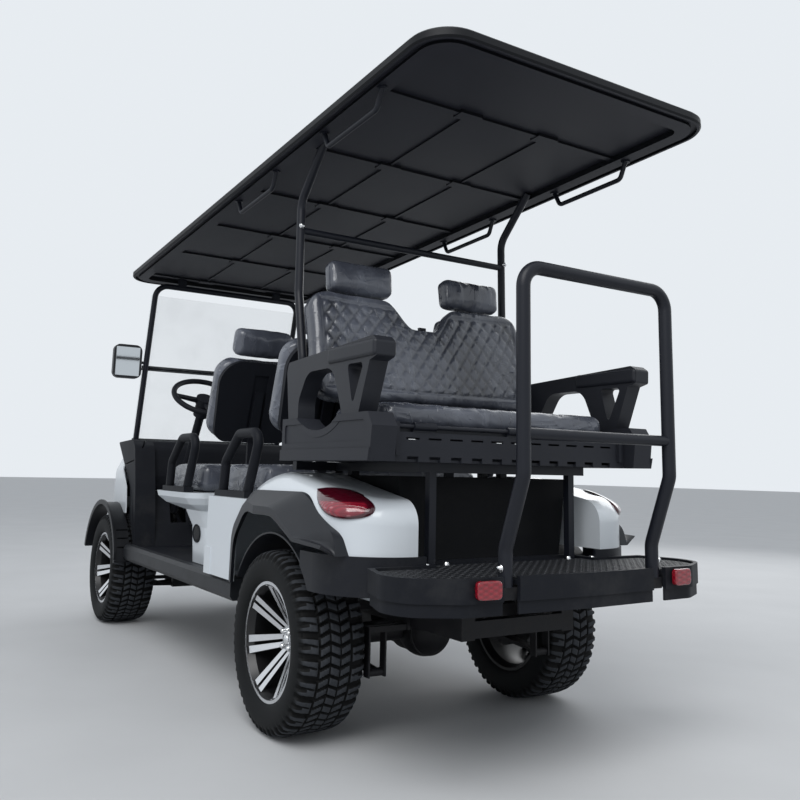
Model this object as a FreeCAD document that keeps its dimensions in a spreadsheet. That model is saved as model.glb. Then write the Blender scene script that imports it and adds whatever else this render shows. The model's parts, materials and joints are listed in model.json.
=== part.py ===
import FreeCAD, Part
import math
import os
import Sketcher
from FreeCAD import Placement, Rotation, Vector

# Six-seat golf cart on lifted wheels: two forward rows and a rear-facing seat over a footboard.
# All shapes are drawn from the rear axle: x forward, y to the left, z up from the ground.
# The finished pieces are then moved so that x = 0 is the middle of the cart's length.

# Driving dimensions in mm: name, value, what it is
SIZES = [
    ("wheelbase", 2300, "rear axle to front axle"),
    ("track", 1000, "between the tyre centre planes"),
    ("front_reach", 490, "front axle to the front of the bumper"),
    ("axle_height", 292, "ground to wheel centre"),
    ("tread_depth", 9, "height of the tread lugs"),
    ("tyre_width", 236, "widest part of the tyre"),
    ("tread_width", 212, "across the tread"),
    ("bead_radius", 180, "tyre bead"),
    ("lip_radius", 190, "rim lip"),
    ("rim_width", 204, "across the rim lips"),
    ("barrel_radius", 168, "rim well"),
    ("rim_wall", 7, "rim thickness"),
    ("hub_radius", 46, "rim hub"),
    ("hub_inset", 86, "rim lip to the hub face"),
    ("hub_depth", 52, "length of the rim hub"),
    ("spoke_pairs", 7, "pairs of rim spokes"),
    ("spoke_root", 15, "width of one spoke at the hub"),
    ("spoke_tip", 23.5, "width of one spoke at the barrel"),
    ("slit_root", 4.5, "half the slit in a pair of spokes at the hub"),
    ("slit_tip", 6.5, "half the slit in a pair of spokes at the barrel"),
    ("lug_count", 28, "shoulder lugs round one side of a tyre"),
    ("lug_run", 36, "length of a shoulder lug round the tyre"),
    ("stub_radius", 17, "wheel stub shaft"),
    ("bearing_gap", 0.05, "radial clearance of a shaft in its bore"),
    ("play", 3, "axial clearance of a turning piece"),
    ("kingpin_in", 115, "kingpin inside the tyre's centre plane"),
    ("kingpin_radius", 11, "kingpin"),
    ("arm_low", 190, "height of the lower suspension arm"),
    ("arm_high", 392, "height of the upper suspension arm"),
    ("steer_arm", 100, "kingpin to tie rod end"),
    ("arm_seat", 262, "underside of the steering arms"),
    ("rack_drop", 56, "wheel centre down to the steering rack"),
    ("rack_radius", 10, "steering rack bar"),
    ("pinion_y", 20, "pinion of the rack from the middle"),
    ("rail_y", 200, "chassis rail from the middle"),
    ("rail_wide", 50, "chassis rail width"),
    ("rail_low", 355, "underside of the chassis rails"),
    ("rail_tall", 60, "chassis rail height"),
    ("rail_rear", 560, "rear axle to the rear end of the rails"),
    ("rail_ahead", 340, "front axle to the front end of the rails"),
    ("hoop_top", 706, "top of the cowl's hoop"),
    ("tower_top", 604, "top of the spring towers"),
    ("floor_low", 415, "underside of the floor"),
    ("floor_wall", 15, "floor thickness"),
    ("floor_half", 540, "half width of the floor"),
    ("toe_back", 365, "front axle back to the foot of the toe board"),
    ("pedal_up", 125, "floor to the pedals, along the toe board"),
    ("toe_run", 127, "run of the toe board"),
    ("toe_top", 715, "top of the toe board"),
    ("sill_wide", 46, "sill width"),
    ("sill_low", 365, "underside of the sill"),
    ("sill_tall", 78, "sill height"),
    ("sill_rear", 392, "rear end of the sill"),
    ("sill_back", 355, "front axle back to the front end of the sill"),
    ("body_over", 100, "side of the rear body outside the tyre's centre plane"),
    ("body_front", 640, "front face of the rear body"),
    ("body_rear", 540, "rear axle to the rear end of the body"),
    ("body_low", 470, "lower edge of the body ahead of the wheel"),
    ("skirt_top", 604, "upper edge of the black rear skirt"),
    ("skirt_low", 490, "lower edge of the black rear skirt"),
    ("shoulder", 742, "height of the seat deck"),
    ("deck_rear", 230, "rear end of the seat deck"),
    ("fender_radius", 550, "curve of the rear fender over the wheel"),
    ("fender_fall", 9.7, "fall of the rear fender behind the wheel in degrees"),
    ("hump_top", 842, "top of the rear fenders"),
    ("hump_in", 128, "inner side of the rear fenders inside the tyre's centre plane"),
    ("corner_radius", 222, "rear body corner in plan"),
    ("crown_radius", 78, "rounding along the fender tops"),
    ("panel_wall", 6, "thickness of the moulded panels"),
    ("liner_radius", 345, "rear wheel arch liner"),
    ("flare_reach", 46, "how far a flare stands out of the body"),
    ("lip_tall", 28, "height of a flare's lip"),
    ("row_pitch", 710, "from one forward row to the next"),
    ("cushion_rear", 300, "rear edge of the second row cushion"),
    ("cushion_deep", 480, "depth of the forward cushions"),
    ("cushion_half", 520, "half width of the forward cushions"),
    ("cushion_tall", 128, "thickness of the forward cushions"),
    ("back_y", 300, "seat back centre from the middle"),
    ("back_half", 212, "half width of a seat back"),
    ("back_low", 965, "lower end of the seat backs"),
    ("back_tall", 395, "height of the seat backs"),
    ("back_thick", 85, "thickness of the seat backs"),
    ("back_x", 281, "second row back at its foot"),
    ("back_lean", 18, "rake of the seat backs in degrees"),
    ("shell_thick", 24, "thickness of a back shell"),
    ("head_half", 140, "half width of a headrest"),
    ("head_tall", 132, "height of a headrest"),
    ("head_thick", 92, "thickness of a headrest"),
    ("soft_gap", 0.4, "clearance round a cushion"),
    ("pod_half", 480, "half width of the front seat pod's foot"),
    ("pod_rear", 950, "rear face of the front seat pod"),
    ("pod_front", 1190, "front of the pod's foot"),
    ("shelf_front", 1490, "front edge of the pod's shelf"),
    ("shelf_half", 562, "half width of the pod's shelf"),
    ("pod_neck", 640, "height where the pod flares out"),
    ("hip_radius", 19, "hip restraint tube with its padding"),
    ("hip_top", 985, "height of a hip restraint"),
    ("hip_y", 556, "hip restraint from the middle"),
    ("tray_low", 880, "underside of the rear seat tray, on the seat frame"),
    ("tray_top", 968, "upper edge of the rear seat tray"),
    ("tray_rear", 545, "rear axle to the rear edge of the tray"),
    ("tray_front", 10, "front end of the tray ahead of the axle"),
    ("tray_half", 490, "half width of the tray between its side modules"),
    ("side_wide", 85, "width of a side module"),
    ("side_rear", 600, "rear axle to the rear end of a side module"),
    ("side_top", 1020, "upper edge of a side module"),
    ("dip_radius", 260, "radius of the dip in a side module"),
    ("pad_top", 1240, "top of the armrests"),
    ("pad_tall", 56, "height of the armrest pads"),
    ("rear_cushion_tall", 86, "thickness of the rear cushion"),
    ("rear_cushion_rear", 498, "rear axle to the rear edge of the rear cushion"),
    ("rear_cushion_deep", 378, "depth of the rear cushion"),
    ("rear_cushion_half", 478, "half width of the rear cushion"),
    ("pan_thick", 10, "rear seat pan"),
    ("pin_radius", 6, "rear seat hinge rod"),
    ("hinge_x", -545, "rear seat hinge rod from the axle"),
    ("hinge_z", 985, "height of the rear seat hinge rod"),
    ("rest_back", 6, "back of the rear backrest at its foot"),
    ("rest_low", 1090, "lower edge of the rear backrest"),
    ("rest_half", 496, "half width of the rear backrest"),
    ("rest_tall", 438, "height of the rear backrest's lobes"),
    ("rest_thick", 92, "thickness of the rear backrest"),
    ("rest_lean", 14.5, "rake of the rear backrest in degrees"),
    ("well_gap", 20, "rear fenders to the top of the black well"),
    ("well_rear", 392, "rear axle to the rear face of the well"),
    ("well_low", 548, "underside of the well"),
    ("leg_x", 60, "seat frame legs ahead of and behind the axle"),
    ("leg_in", 42, "seat frame legs inside the rear fenders"),
    ("tube_square", 30, "square tube of the seat frame"),
    ("post_x", 478, "rear axle to the footboard posts"),
    ("post_in", 84, "footboard posts inside the rear fenders"),
    ("strut_x", 125, "roof struts ahead of the axle"),
    ("strut_y", 481, "roof struts from the middle"),
    ("strut_radius", 16, "roof strut tube"),
    ("strut_top", 2029, "upper end of the roof struts"),
    ("cross_z", 1738, "crossbar between the roof struts"),
    ("arch_y", 450, "front posts from the middle"),
    ("arch_back", 150, "front axle back to the top of the front posts"),
    ("arch_top", 1900, "height of the front posts' top bar"),
    ("rake", 14.2, "rake of the front posts in degrees"),
    ("step_rear", 870, "rear axle to the rear edge of the footboard"),
    ("step_front", 552, "rear axle to the front edge of the footboard"),
    ("step_half", 592, "half width of the footboard"),
    ("step_top", 580, "top of the footboard"),
    ("step_tall", 98, "height of the footboard's skirt"),
    ("plate_thick", 3, "tread plate on the footboard"),
    ("skirt_step", 34, "height of the moulded step in the footboard's skirt"),
    ("tread_drop", 10, "footboard rim above its tread"),
    ("step_wall", 12, "thickness of the footboard"),
    ("rail_reach", 914, "rear axle to the grab rail"),
    ("grab_y", 287, "grab rail legs from the middle"),
    ("grab_radius", 20, "grab rail tube"),
    ("grab_top", 1422, "top of the grab rail"),
    ("grab_cross", 959, "crossbar of the grab rail"),
    ("grab_foot_x", 838, "rear axle to the feet of the grab rail"),
    ("roof_half", 590, "half width of the roof"),
    ("roof_rear", 908, "rear axle to the rear edge of the roof"),
    ("roof_back", 38, "front axle back to the front edge of the roof"),
    ("roof_z", 2040, "underside of the roof at its rear edge"),
    ("roof_fall", 2.05, "fall of the roof towards the front in degrees"),
    ("roof_corner", 130, "roof corner radius"),
    ("roof_lip", 34, "depth of the roof's edge"),
    ("roof_crown", 30, "rise of the roof inside its edge"),
    ("roof_gutter", 88, "roof edge to the inner panel"),
    ("panel_rise", 22, "recess of the roof's inner panel"),
    ("rib_wide", 24, "width of a rib under the roof"),
    ("rib_tall", 9, "height of a rib under the roof"),
    ("rib_pitch", 520, "spacing of the ribs under the roof"),
    ("rib_line", 170, "lengthwise ribs under the roof from the middle"),
    ("edge_in", 14, "roof edge to its gutter"),
    ("edge_wide", 20, "width of the gutter under the roof's edge"),
    ("handle_radius", 9, "roof grab handle tube"),
    ("handle_drop", 62, "roof grab handle below the roof"),
    ("handle_y", 520, "roof grab handles from the middle"),
    ("cowl_half", 540, "half width of the front cowl"),
    ("cowl_low", 600, "lower edge of the front cowl"),
    ("cowl_top", 985, "top of the front cowl"),
    ("nose_ahead", 435, "front axle to the front face of the cowl"),
    ("dash_half", 430, "half width of the dashboard"),
    ("dash_top", 1000, "top of the dashboard"),
    ("steer_back", 650, "front axle back to the steering wheel's centre"),
    ("steer_y", 290, "steering wheel from the middle"),
    ("steer_z", 1222, "height of the steering wheel centre"),
    ("steer_tilt", 35, "steering wheel plane from level in degrees"),
    ("steer_radius", 165, "steering wheel ring"),
    ("ring_radius", 14, "steering wheel grip"),
    ("column_radius", 22, "steering column tube"),
    ("column_run", 700, "length of the steering column"),
    ("glass_thick", 5, "windshield"),
    ("glass_half", 466, "half width of the windshield"),
    ("glass_low", 990, "lower edge of the windshield"),
    ("glass_split", 1420, "fold of the windshield"),
    ("glass_top", 1840, "upper edge of the windshield"),
    ("mirror_wide", 160, "mirror width"),
    ("mirror_tall", 195, "mirror height"),
    ("mirror_thick", 34, "mirror depth"),
    ("mirror_y", 560, "mirror centre from the middle"),
    ("mirror_z", 1452, "height of the mirror centre"),
    ("bumper_half", 470, "half width of the front bumper"),
    ("bumper_deep", 115, "front bumper in length"),
    ("bumper_low", 440, "underside of the front bumper"),
    ]

doc = FreeCAD.newDocument("golf_cart")
sheet = doc.addObject("Spreadsheet::Sheet", "Sizes")
for row, (alias, value, meaning) in enumerate(SIZES, start=1):
    sheet.set("A%d" % row, meaning)
    sheet.set("B%d" % row, str(value))
    sheet.setAlias("B%d" % row, alias)
doc.recompute()


class Values:
    """The sheet's values as plain numbers, read by alias."""

    def __getattr__(self, alias):
        return float(sheet.get(alias))


v = Values()
MIDDLE = "(Sizes.wheelbase + Sizes.front_reach - Sizes.rail_reach - Sizes.grab_radius) / 2"
X_AXIS = Vector(1, 0, 0)
Y_AXIS = Vector(0, 1, 0)
Z_AXIS = Vector(0, 0, 1)
SIDES = {"left": 1, "right": -1}
nodes = []


def number(expression):
    """Value of a sheet expression."""
    return float(sheet.evalExpression(expression.replace("Sizes.", "")))


def node(item, label):
    """Names a finished piece and moves it to the cart's own origin."""
    item.Label = label
    item.setExpression("Placement.Base.x", "-(%s)" % MIDDLE)
    nodes.append(item)
    return item


def feature(label, shape):
    """A piece whose shape is made by a function from the sheet's values."""
    item = doc.addObject("Part::Feature", label)
    if not shape.Placement.isIdentity():
        shape = Part.makeCompound([shape])
    item.Shape = shape
    return node(item, label)


def box(name, low, high):
    """Box between two corners given as sheet expressions."""
    item = doc.addObject("Part::Box", name)
    for size, axis, a, b in zip(("Length", "Width", "Height"), "xyz", low, high):
        item.setExpression(size, "(%s) - (%s)" % (b, a))
        item.setExpression("Placement.Base." + axis, a)
    return item


def cylinder(name, radius, length, base, axis):
    """Cylinder from a base point along an axis, given as sheet expressions."""
    item = doc.addObject("Part::Cylinder", name)
    item.setExpression("Radius", radius)
    item.setExpression("Height", length)
    item.Placement.Rotation = Rotation(Z_AXIS, axis)
    for letter, place in zip("xyz", base):
        item.setExpression("Placement.Base." + letter, place)
    return item


def joined(name, kind, parts):
    """Fuse or compound of several objects."""
    item = doc.addObject(kind, name)
    if kind == "Part::MultiFuse":
        item.Shapes = parts
        item.Refine = True
    else:
        item.Links = parts
    return item


def mirrored(item):
    """The same object on the right-hand side."""
    copy = doc.addObject("Part::Mirroring", item.Name + "_right")
    copy.Source = item
    copy.Normal = Y_AXIS
    return copy


def both_sides(label, item):
    """A left-hand object and its mirror image as one node of two solids."""
    return node(joined(label, "Part::Compound", [item, mirrored(item)]), label)


def mirror_shape(shape):
    return shape.mirror(Vector(0, 0, 0), Y_AXIS)


def pair(shape):
    """A shape and its mirror image."""
    return Part.makeCompound([shape, mirror_shape(shape)])


def body(name, label):
    item = doc.addObject("PartDesign::Body", name)
    node(item, label)
    return item


def sketch(owner, name, role, points, offset=None):
    """Closed outline of straight edges on an origin plane of its body; points are expressions."""
    item = owner.newObject("Sketcher::SketchObject", name)
    plane = [f for f in owner.Origin.OriginFeatures if f.Role == role][0]
    item.AttachmentSupport = [(plane, "")]
    item.MapMode = "FlatFace"
    if offset:
        item.setExpression("AttachmentOffset.Base.z", offset)
    ends = [Vector(number(a), number(b), 0) for a, b in points]
    count = len(ends)
    for i in range(count):
        item.addGeometry(Part.LineSegment(ends[i], ends[(i + 1) % count]), False)
    for i in range(count):
        item.addConstraint(Sketcher.Constraint("Coincident", i, 2, (i + 1) % count, 1))
    for i, (across, up) in enumerate(points):
        for kind, text, value in (("DistanceX", across, ends[i].x), ("DistanceY", up, ends[i].y)):
            index = item.addConstraint(Sketcher.Constraint(kind, -1, 1, i, 1, value))
            item.setExpression("Constraints[%d]" % index, text)
    return item


def pad(owner, outline, length, middle=True, name="Pad"):
    item = owner.newObject("PartDesign::Pad", name)
    item.Profile = outline
    item.setExpression("Length", length)
    item.Midplane = middle
    return item


def pocket(owner, outline, length, name="Pocket"):
    """Cut to both sides of its sketch."""
    item = owner.newObject("PartDesign::Pocket", name)
    item.Profile = outline
    item.setExpression("Length", length)
    item.Midplane = True
    return item


def revolve(owner, outline, name="Revolution"):
    """Full turn about the sketch's own horizontal axis."""
    item = owner.newObject("PartDesign::Revolution", name)
    item.Profile = outline
    item.ReferenceAxis = (outline, ["H_Axis"])
    item.Angle = 360
    return item


def groove(owner, outline, name):
    """Full turn of a cut about the sketch's own horizontal axis."""
    item = owner.newObject("PartDesign::Groove", name)
    item.Profile = outline
    item.ReferenceAxis = (outline, ["H_Axis"])
    item.Angle = 360
    return item


def corner_points(points, radii):
    """For each corner: where its arc starts, its middle and where it ends."""
    count = len(points)
    corners = []
    for i, point in enumerate(points):
        before = (points[i - 1] - point).normalize()
        after = (points[(i + 1) % count] - point).normalize()
        half = before.getAngle(after) / 2
        radius = radii[i] if isinstance(radii, (list, tuple)) else radii
        if radius <= 0 or half > math.radians(89.5):
            corners.append((point, None, point))
            continue
        reach = radius / math.tan(half)
        inward = (before + after).normalize()
        centre = point + inward * (radius / math.sin(half))
        corners.append((point + before * reach, centre - inward * radius, point + after * reach))
    return corners


def rounded_wire(points, radii):
    """Closed polygon whose corners are arcs."""
    corners = corner_points(points, radii)
    edges = []
    for i, (start, middle, end) in enumerate(corners):
        if middle is not None:
            edges.append(Part.Arc(start, middle, end).toShape())
        following = corners[(i + 1) % len(corners)][0]
        if (following - end).Length > 1e-6:
            edges.append(Part.LineSegment(end, following).toShape())
    return Part.Wire(edges)


def prism(points, radii, direction):
    """Rounded polygon carried along a direction."""
    return Part.Face(rounded_wire(points, radii)).extrude(direction)


def plan(pairs, z):
    return [Vector(x, y, z) for x, y in pairs]


def side(pairs, y):
    return [Vector(x, y, z) for x, z in pairs]


def nose_side(pairs, y):
    """Side view points measured from the front axle."""
    return [Vector(v.wheelbase + x, y, z) for x, z in pairs]


def end(pairs, x):
    return [Vector(x, y, z) for y, z in pairs]


def block(x0, x1, y0, y1, z0, z1):
    return Part.makeBox(x1 - x0, y1 - y0, z1 - z0, Vector(x0, y0, z0))


def tube(points, radius, bend):
    """Round tube through points, with an arc at each inner point."""
    parts = []
    last = points[0]
    for i in range(1, len(points) - 1):
        start, middle, finish = corner_points(points[i - 1:i + 2], [0, bend, 0])[1]
        parts.append(Part.makeCylinder(radius, (start - last).Length, last, start - last))
        along = (points[i] - points[i - 1]).normalize()
        onward = (points[i + 1] - points[i]).normalize()
        axis = along.cross(onward).normalize()
        centre = start + axis.cross(along) * bend
        section = Part.Face(Part.Wire([Part.Circle(start, along, radius).toShape()]))
        parts.append(section.revolve(centre, axis, math.degrees(along.getAngle(onward))))
        last = finish
    parts.append(Part.makeCylinder(radius, (points[-1] - last).Length, last, points[-1] - last))
    return parts[0].multiFuse(parts[1:]) if len(parts) > 1 else parts[0]


def loft(wires):
    return Part.makeLoft(wires, True, True)


def fused(shapes):
    return shapes[0].multiFuse(shapes[1:]).removeSplitter()


# Places that follow the axles and the track
TOE_X = "(Sizes.wheelbase - Sizes.toe_back)"
SILL_FRONT = "(Sizes.wheelbase - Sizes.sill_back)"
LEG_FROM_MIDDLE = "(Sizes.track / 2 - Sizes.hump_in - Sizes.leg_in)"
BODY_HALF = v.track / 2 + v.body_over
HUMP_INNER = v.track / 2 - v.hump_in
WELL_HALF = "(Sizes.track / 2 - Sizes.hump_in - Sizes.well_gap)"
LEG_Y = HUMP_INNER - v.leg_in
POST_Y = HUMP_INNER - v.post_in
STEER_X = v.wheelbase - v.steer_back
ROOF_FRONT = v.wheelbase - v.roof_back


# Wheels: name, axle place in x, side
FRONT = "Sizes.wheelbase"
WHEELS = [
    ("rear_left", "0", "left"),
    ("rear_right", "0", "right"),
    ("front_left", FRONT, "left"),
    ("front_right", FRONT, "right"),
]


def place_wheel(source, label, axle_x, hand):
    """A wheel piece drawn at the origin, put at one wheel centre."""
    item = joined(label, "Part::Compound", [source])
    nodes.append(item)
    item.setExpression("Placement.Base.x", "%s - %s" % (axle_x, MIDDLE))
    item.setExpression("Placement.Base.y", "%d * Sizes.track / 2" % SIDES[hand])
    item.setExpression("Placement.Base.z", "Sizes.axle_height")


def tyre():
    """Tyre turned from one profile about the wheel's axis, with lugs round both shoulders."""
    item = doc.addObject("PartDesign::Body", "Tyre")
    half = "Sizes.tyre_width / 2"
    tread = "Sizes.tread_width / 2"
    band = "Sizes.tread_width / 4"
    tip = "Sizes.axle_height"
    base = "Sizes.axle_height - Sizes.tread_depth"
    flank = "(Sizes.bead_radius + Sizes.axle_height) / 2"
    seat = "Sizes.rim_width / 2 - Sizes.rim_wall"
    over = "Sizes.rim_width / 2 + 1"
    right = [
        (seat, "Sizes.bead_radius"),
        (seat, "Sizes.lip_radius + 0.5"),
        (over, "Sizes.lip_radius + 1"),
        (half, flank),
        ("%s - 2" % half, "%s - 34" % tip),
        (tread, "%s - 7" % base),
        ("%s + 22" % band, base),
        ("%s + 2" % band, base),
        (band, tip),
    ]
    profile = right + [("-(%s)" % y, z) for y, z in reversed(right)]
    revolve(item, sketch(item, "TyreProfile", "YZ_Plane", profile))
    lugs = []
    for name, sign, shift in (("Left", 1, 0), ("Right", -1, 1)):
        start = "Sizes.lug_run * %s / 2" % shift
        inner = "%d * (%s + 9)" % (sign, band)
        outer = "%d * (%s + 2)" % (sign, tread)
        outline = [
            ("%s - Sizes.lug_run / 2 + 4" % start, inner),
            ("%s + Sizes.lug_run / 2 - 8" % start, inner),
            ("%s + Sizes.lug_run / 2" % start, outer),
            ("%s - Sizes.lug_run / 2 + 10" % start, outer),
        ]
        footing = sketch(item, "Lug" + name, "XY_Plane", outline, "%s - 20" % base)
        lugs.append(pad(item, footing, "20 + Sizes.tread_depth - 2", False, "PadLug" + name))
    pattern = item.newObject("PartDesign::PolarPattern", "Lugs")
    pattern.Originals = lugs
    axis = [f for f in item.Origin.OriginFeatures if f.Role == "Y_Axis"][0]
    pattern.Axis = (axis, [""])
    pattern.Angle = 360
    pattern.setExpression("Occurrences", "Sizes.lug_count")
    item.Tip = pattern
    return item


def rim():
    """Rim: turned barrel, pairs of tapered spokes round the axis cut to a dish, then hub and cap."""
    item = doc.addObject("PartDesign::Body", "Rim")
    edge = "Sizes.rim_width / 2"
    wall = "Sizes.rim_wall"
    barrel = [
        ("(-%s)" % edge, "Sizes.bead_radius"),
        ("(-%s)" % edge, "Sizes.lip_radius"),
        ("(%s - %s)" % (wall, edge), "Sizes.lip_radius"),
        ("(%s - %s)" % (wall, edge), "Sizes.bead_radius"),
        ("(%s - %s)" % (edge, wall), "Sizes.bead_radius"),
        ("(%s - %s)" % (edge, wall), "Sizes.lip_radius"),
        ("(%s)" % edge, "Sizes.lip_radius"),
        ("(%s)" % edge, "Sizes.bead_radius"),
        ("(%s - 26)" % edge, "Sizes.barrel_radius"),
        ("(30 - %s)" % edge, "Sizes.barrel_radius"),
    ]
    revolve(item, sketch(item, "BarrelProfile", "YZ_Plane", barrel), "Barrel")
    face = "(%s - Sizes.hub_inset)" % edge
    back = "(%s - Sizes.hub_inset - Sizes.hub_depth)" % edge
    root = "Sizes.hub_radius - 8"
    rim_in = "Sizes.bead_radius - 4"
    spokes = []
    for name, sign in (("Fore", 1), ("Aft", -1)):
        outline = [
            ("%d * Sizes.slit_root" % sign, root),
            ("%d * (Sizes.slit_root + Sizes.spoke_root)" % sign, root),
            ("%d * (Sizes.slit_tip + Sizes.spoke_tip)" % sign, rim_in),
            ("%d * Sizes.slit_tip" % sign, rim_in),
        ]
        middle = "(-(%s) + 13 + Sizes.hub_inset / 2)" % edge
        flat = sketch(item, "Spoke" + name, "XZ_Plane", outline, middle)
        spokes.append(pad(item, flat, "Sizes.hub_inset + 26", name="Pad" + name))
    pattern = item.newObject("PartDesign::PolarPattern", "Spokes")
    pattern.Originals = spokes
    axis = [f for f in item.Origin.OriginFeatures if f.Role == "Y_Axis"][0]
    pattern.Axis = (axis, [""])
    pattern.Angle = 360
    pattern.setExpression("Occurrences", "Sizes.spoke_pairs")
    item.Tip = pattern
    doc.recompute()
    dish = [
        (face, "10"),
        (face, root),
        ("(%s - 8)" % edge, rim_in),
        ("(%s + 3)" % edge, rim_in),
        ("(%s + 3)" % edge, "10"),
    ]
    groove(item, sketch(item, "DishProfile", "YZ_Plane", dish), "Dish")
    behind = [
        ("(%s - 26)" % face, "10"),
        ("(%s - 26)" % face, root),
        ("(%s - 26)" % edge, "Sizes.barrel_radius"),
        ("(%s - 28)" % face, "Sizes.barrel_radius"),
        ("(%s - 28)" % face, "10"),
    ]
    groove(item, sketch(item, "BackProfile", "YZ_Plane", behind), "Back")
    hub = [
        (face, "Sizes.stub_radius + Sizes.bearing_gap"),
        (face, "Sizes.hub_radius"),
        (back, "Sizes.hub_radius"),
        (back, "Sizes.stub_radius + Sizes.bearing_gap"),
    ]
    revolve(item, sketch(item, "HubProfile", "YZ_Plane", hub), "Hub")
    cap = [
        ("(%s - 2)" % face, "0"),
        ("(%s + 12)" % face, "0"),
        ("(%s + 12)" % face, "Sizes.hub_radius - 16"),
        ("(%s - 2)" % face, "Sizes.hub_radius - 12"),
    ]
    revolve(item, sketch(item, "CapProfile", "YZ_Plane", cap), "Cap")
    return item


TYRE = tyre()
RIMS = {"left": rim()}
RIMS["right"] = mirrored(RIMS["left"])
for place, axle_x, hand in WHEELS:
    place_wheel(TYRE, "tyre_" + place, axle_x, hand)
    place_wheel(RIMS[hand], "rim_" + place, axle_x, hand)


# Chassis: rails, crossmembers and outriggers welded into one frame
RAIL_FRONT = "(Sizes.wheelbase + Sizes.rail_ahead)"
CROSSMEMBERS = [
    # place along the rails
    ("Tail", "-Sizes.rail_rear"),
    ("Rear", "-Sizes.rail_rear + 230"),
    ("Seat", "270"),
    ("Body", "620"),
    ("Pod", "1250"),
    ("Toe", "1830"),
    ("Nose", RAIL_FRONT + " - 40"),
]
FLOOR_OUTRIGGERS = [("Back", "630"), ("Middle", "1250"), ("Front", "1840")]
HOOP_X = "(Sizes.wheelbase - Sizes.arch_back + (Sizes.arch_top - Sizes.hoop_top) * tan(Sizes.rake * 1 deg))"


def chassis():
    rail_in = "Sizes.rail_y - Sizes.rail_wide / 2"
    rail_out = "Sizes.rail_y + Sizes.rail_wide / 2"
    top = "Sizes.rail_low + Sizes.rail_tall"
    half = []
    half.append(box("Rail", ("-Sizes.rail_rear", rail_in, "Sizes.rail_low"), (RAIL_FRONT, rail_out, top)))
    for name, x in FLOOR_OUTRIGGERS:
        low = ("%s - 20" % x, rail_out, "Sizes.floor_low - 30")
        high = ("%s + 20" % x, "Sizes.floor_half - 4", "Sizes.floor_low")
        half.append(box("Outrigger" + name, low, high))
    for name, x in (("Fore", 60), ("Aft", -60)):
        low = ("%d - 20" % x, rail_out, top + " - 30")
        high = ("%d + 20" % x, LEG_FROM_MIDDLE + " + 20", top)
        half.append(box("LegFoot" + name, low, high))
    left = joined("ChassisLeft", "Part::MultiFuse", half)
    middle = [left, mirrored(left)]
    for name, x in CROSSMEMBERS:
        low = (x, "-(%s)" % rail_in, "Sizes.rail_low + 5")
        high = ("%s + 40" % x, rail_in, top + " - 5")
        middle.append(box("Cross" + name, low, high))
    node(joined("Chassis", "Part::MultiFuse", middle), "chassis_frame")


def welded(label, left, middle):
    """Left-hand members, their mirror images and the members across, as one piece."""
    half = joined(label + "_left", "Part::MultiFuse", left) if len(left) > 1 else left[0]
    node(joined(label, "Part::MultiFuse", [half, mirrored(half)] + middle), label)


def on_rails():
    """Frames that stand on the rails: the cowl's hoop, spring towers, bumper horns and the step's frame."""
    rail_in = "Sizes.rail_y - Sizes.rail_wide / 2"
    rail_out = "Sizes.rail_y + Sizes.rail_wide / 2"
    top = "Sizes.rail_low + Sizes.rail_tall"
    hoop_low = "Sizes.hoop_top - Sizes.tube_square"
    low = (HOOP_X + " - 15", "Sizes.rail_y - 15", top)
    leg = box("HoopLeg", low, (HOOP_X + " + 15", "Sizes.rail_y + 15", hoop_low))
    low = (HOOP_X + " - 15", "-Sizes.arch_y - 20", hoop_low)
    bar_across = box("HoopBar", low, (HOOP_X + " + 15", "Sizes.arch_y + 20", "Sizes.hoop_top"))
    welded("cowl_hoop", [leg], [bar_across])
    cap_low = "Sizes.tower_top - 8"
    low = (FRONT + " - 22", rail_in + " + 10", top)
    tower = box("Tower", low, (FRONT + " + 22", rail_out + " - 10", cap_low))
    low = (FRONT + " - 30", rail_in + " + 10", cap_low)
    cap = box("TowerCap", low, (FRONT + " + 30", rail_out + " + 40", "Sizes.tower_top"))
    both_sides("spring_towers", joined("TowerLeft", "Part::MultiFuse", [tower, cap]))
    low = (RAIL_FRONT + " - 40", "Sizes.rail_y - 15", top)
    bumper_back = FRONT + " + Sizes.front_reach - Sizes.bumper_deep"
    both_sides("bumper_horns", box("Horn", low, (bumper_back, "Sizes.rail_y + 15", top + " + 60")))
    step_high = "Sizes.step_top - Sizes.tread_drop - Sizes.step_wall"
    step_low = "%s - 40" % step_high
    low = ("-Sizes.step_rear + 20", rail_in, step_low)
    runner = box("StepRail", low, ("40 - Sizes.rail_rear", rail_out, step_high))
    low = ("-Sizes.rail_rear", rail_in, top)
    post = box("StepPost", low, ("40 - Sizes.rail_rear", rail_out, step_low))
    foot = "-Sizes.grab_foot_x"
    low = (foot + " - 16", "-Sizes.grab_y - 24", step_low)
    high = (foot + " + 16", "Sizes.grab_y + 24", step_low + " + 32")
    welded("step_frame", [runner, post], [box("GrabFoot", low, high)])


chassis()
on_rails()


def battery():
    item = body("Battery", "battery_pack")
    floor = "Sizes.floor_low + Sizes.floor_wall"
    outline = [("-300", floor), ("300", floor), ("300", "660"), ("-300", "660")]
    pack = sketch(item, "PackOutline", "YZ_Plane", outline, "Sizes.pod_rear + 120")
    pad(item, pack, "180")


battery()


# Axle, springs and steering
KINGPIN_Y = "(Sizes.track / 2 - Sizes.kingpin_in)"
PIN_Y = v.track / 2 - v.kingpin_in


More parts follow.
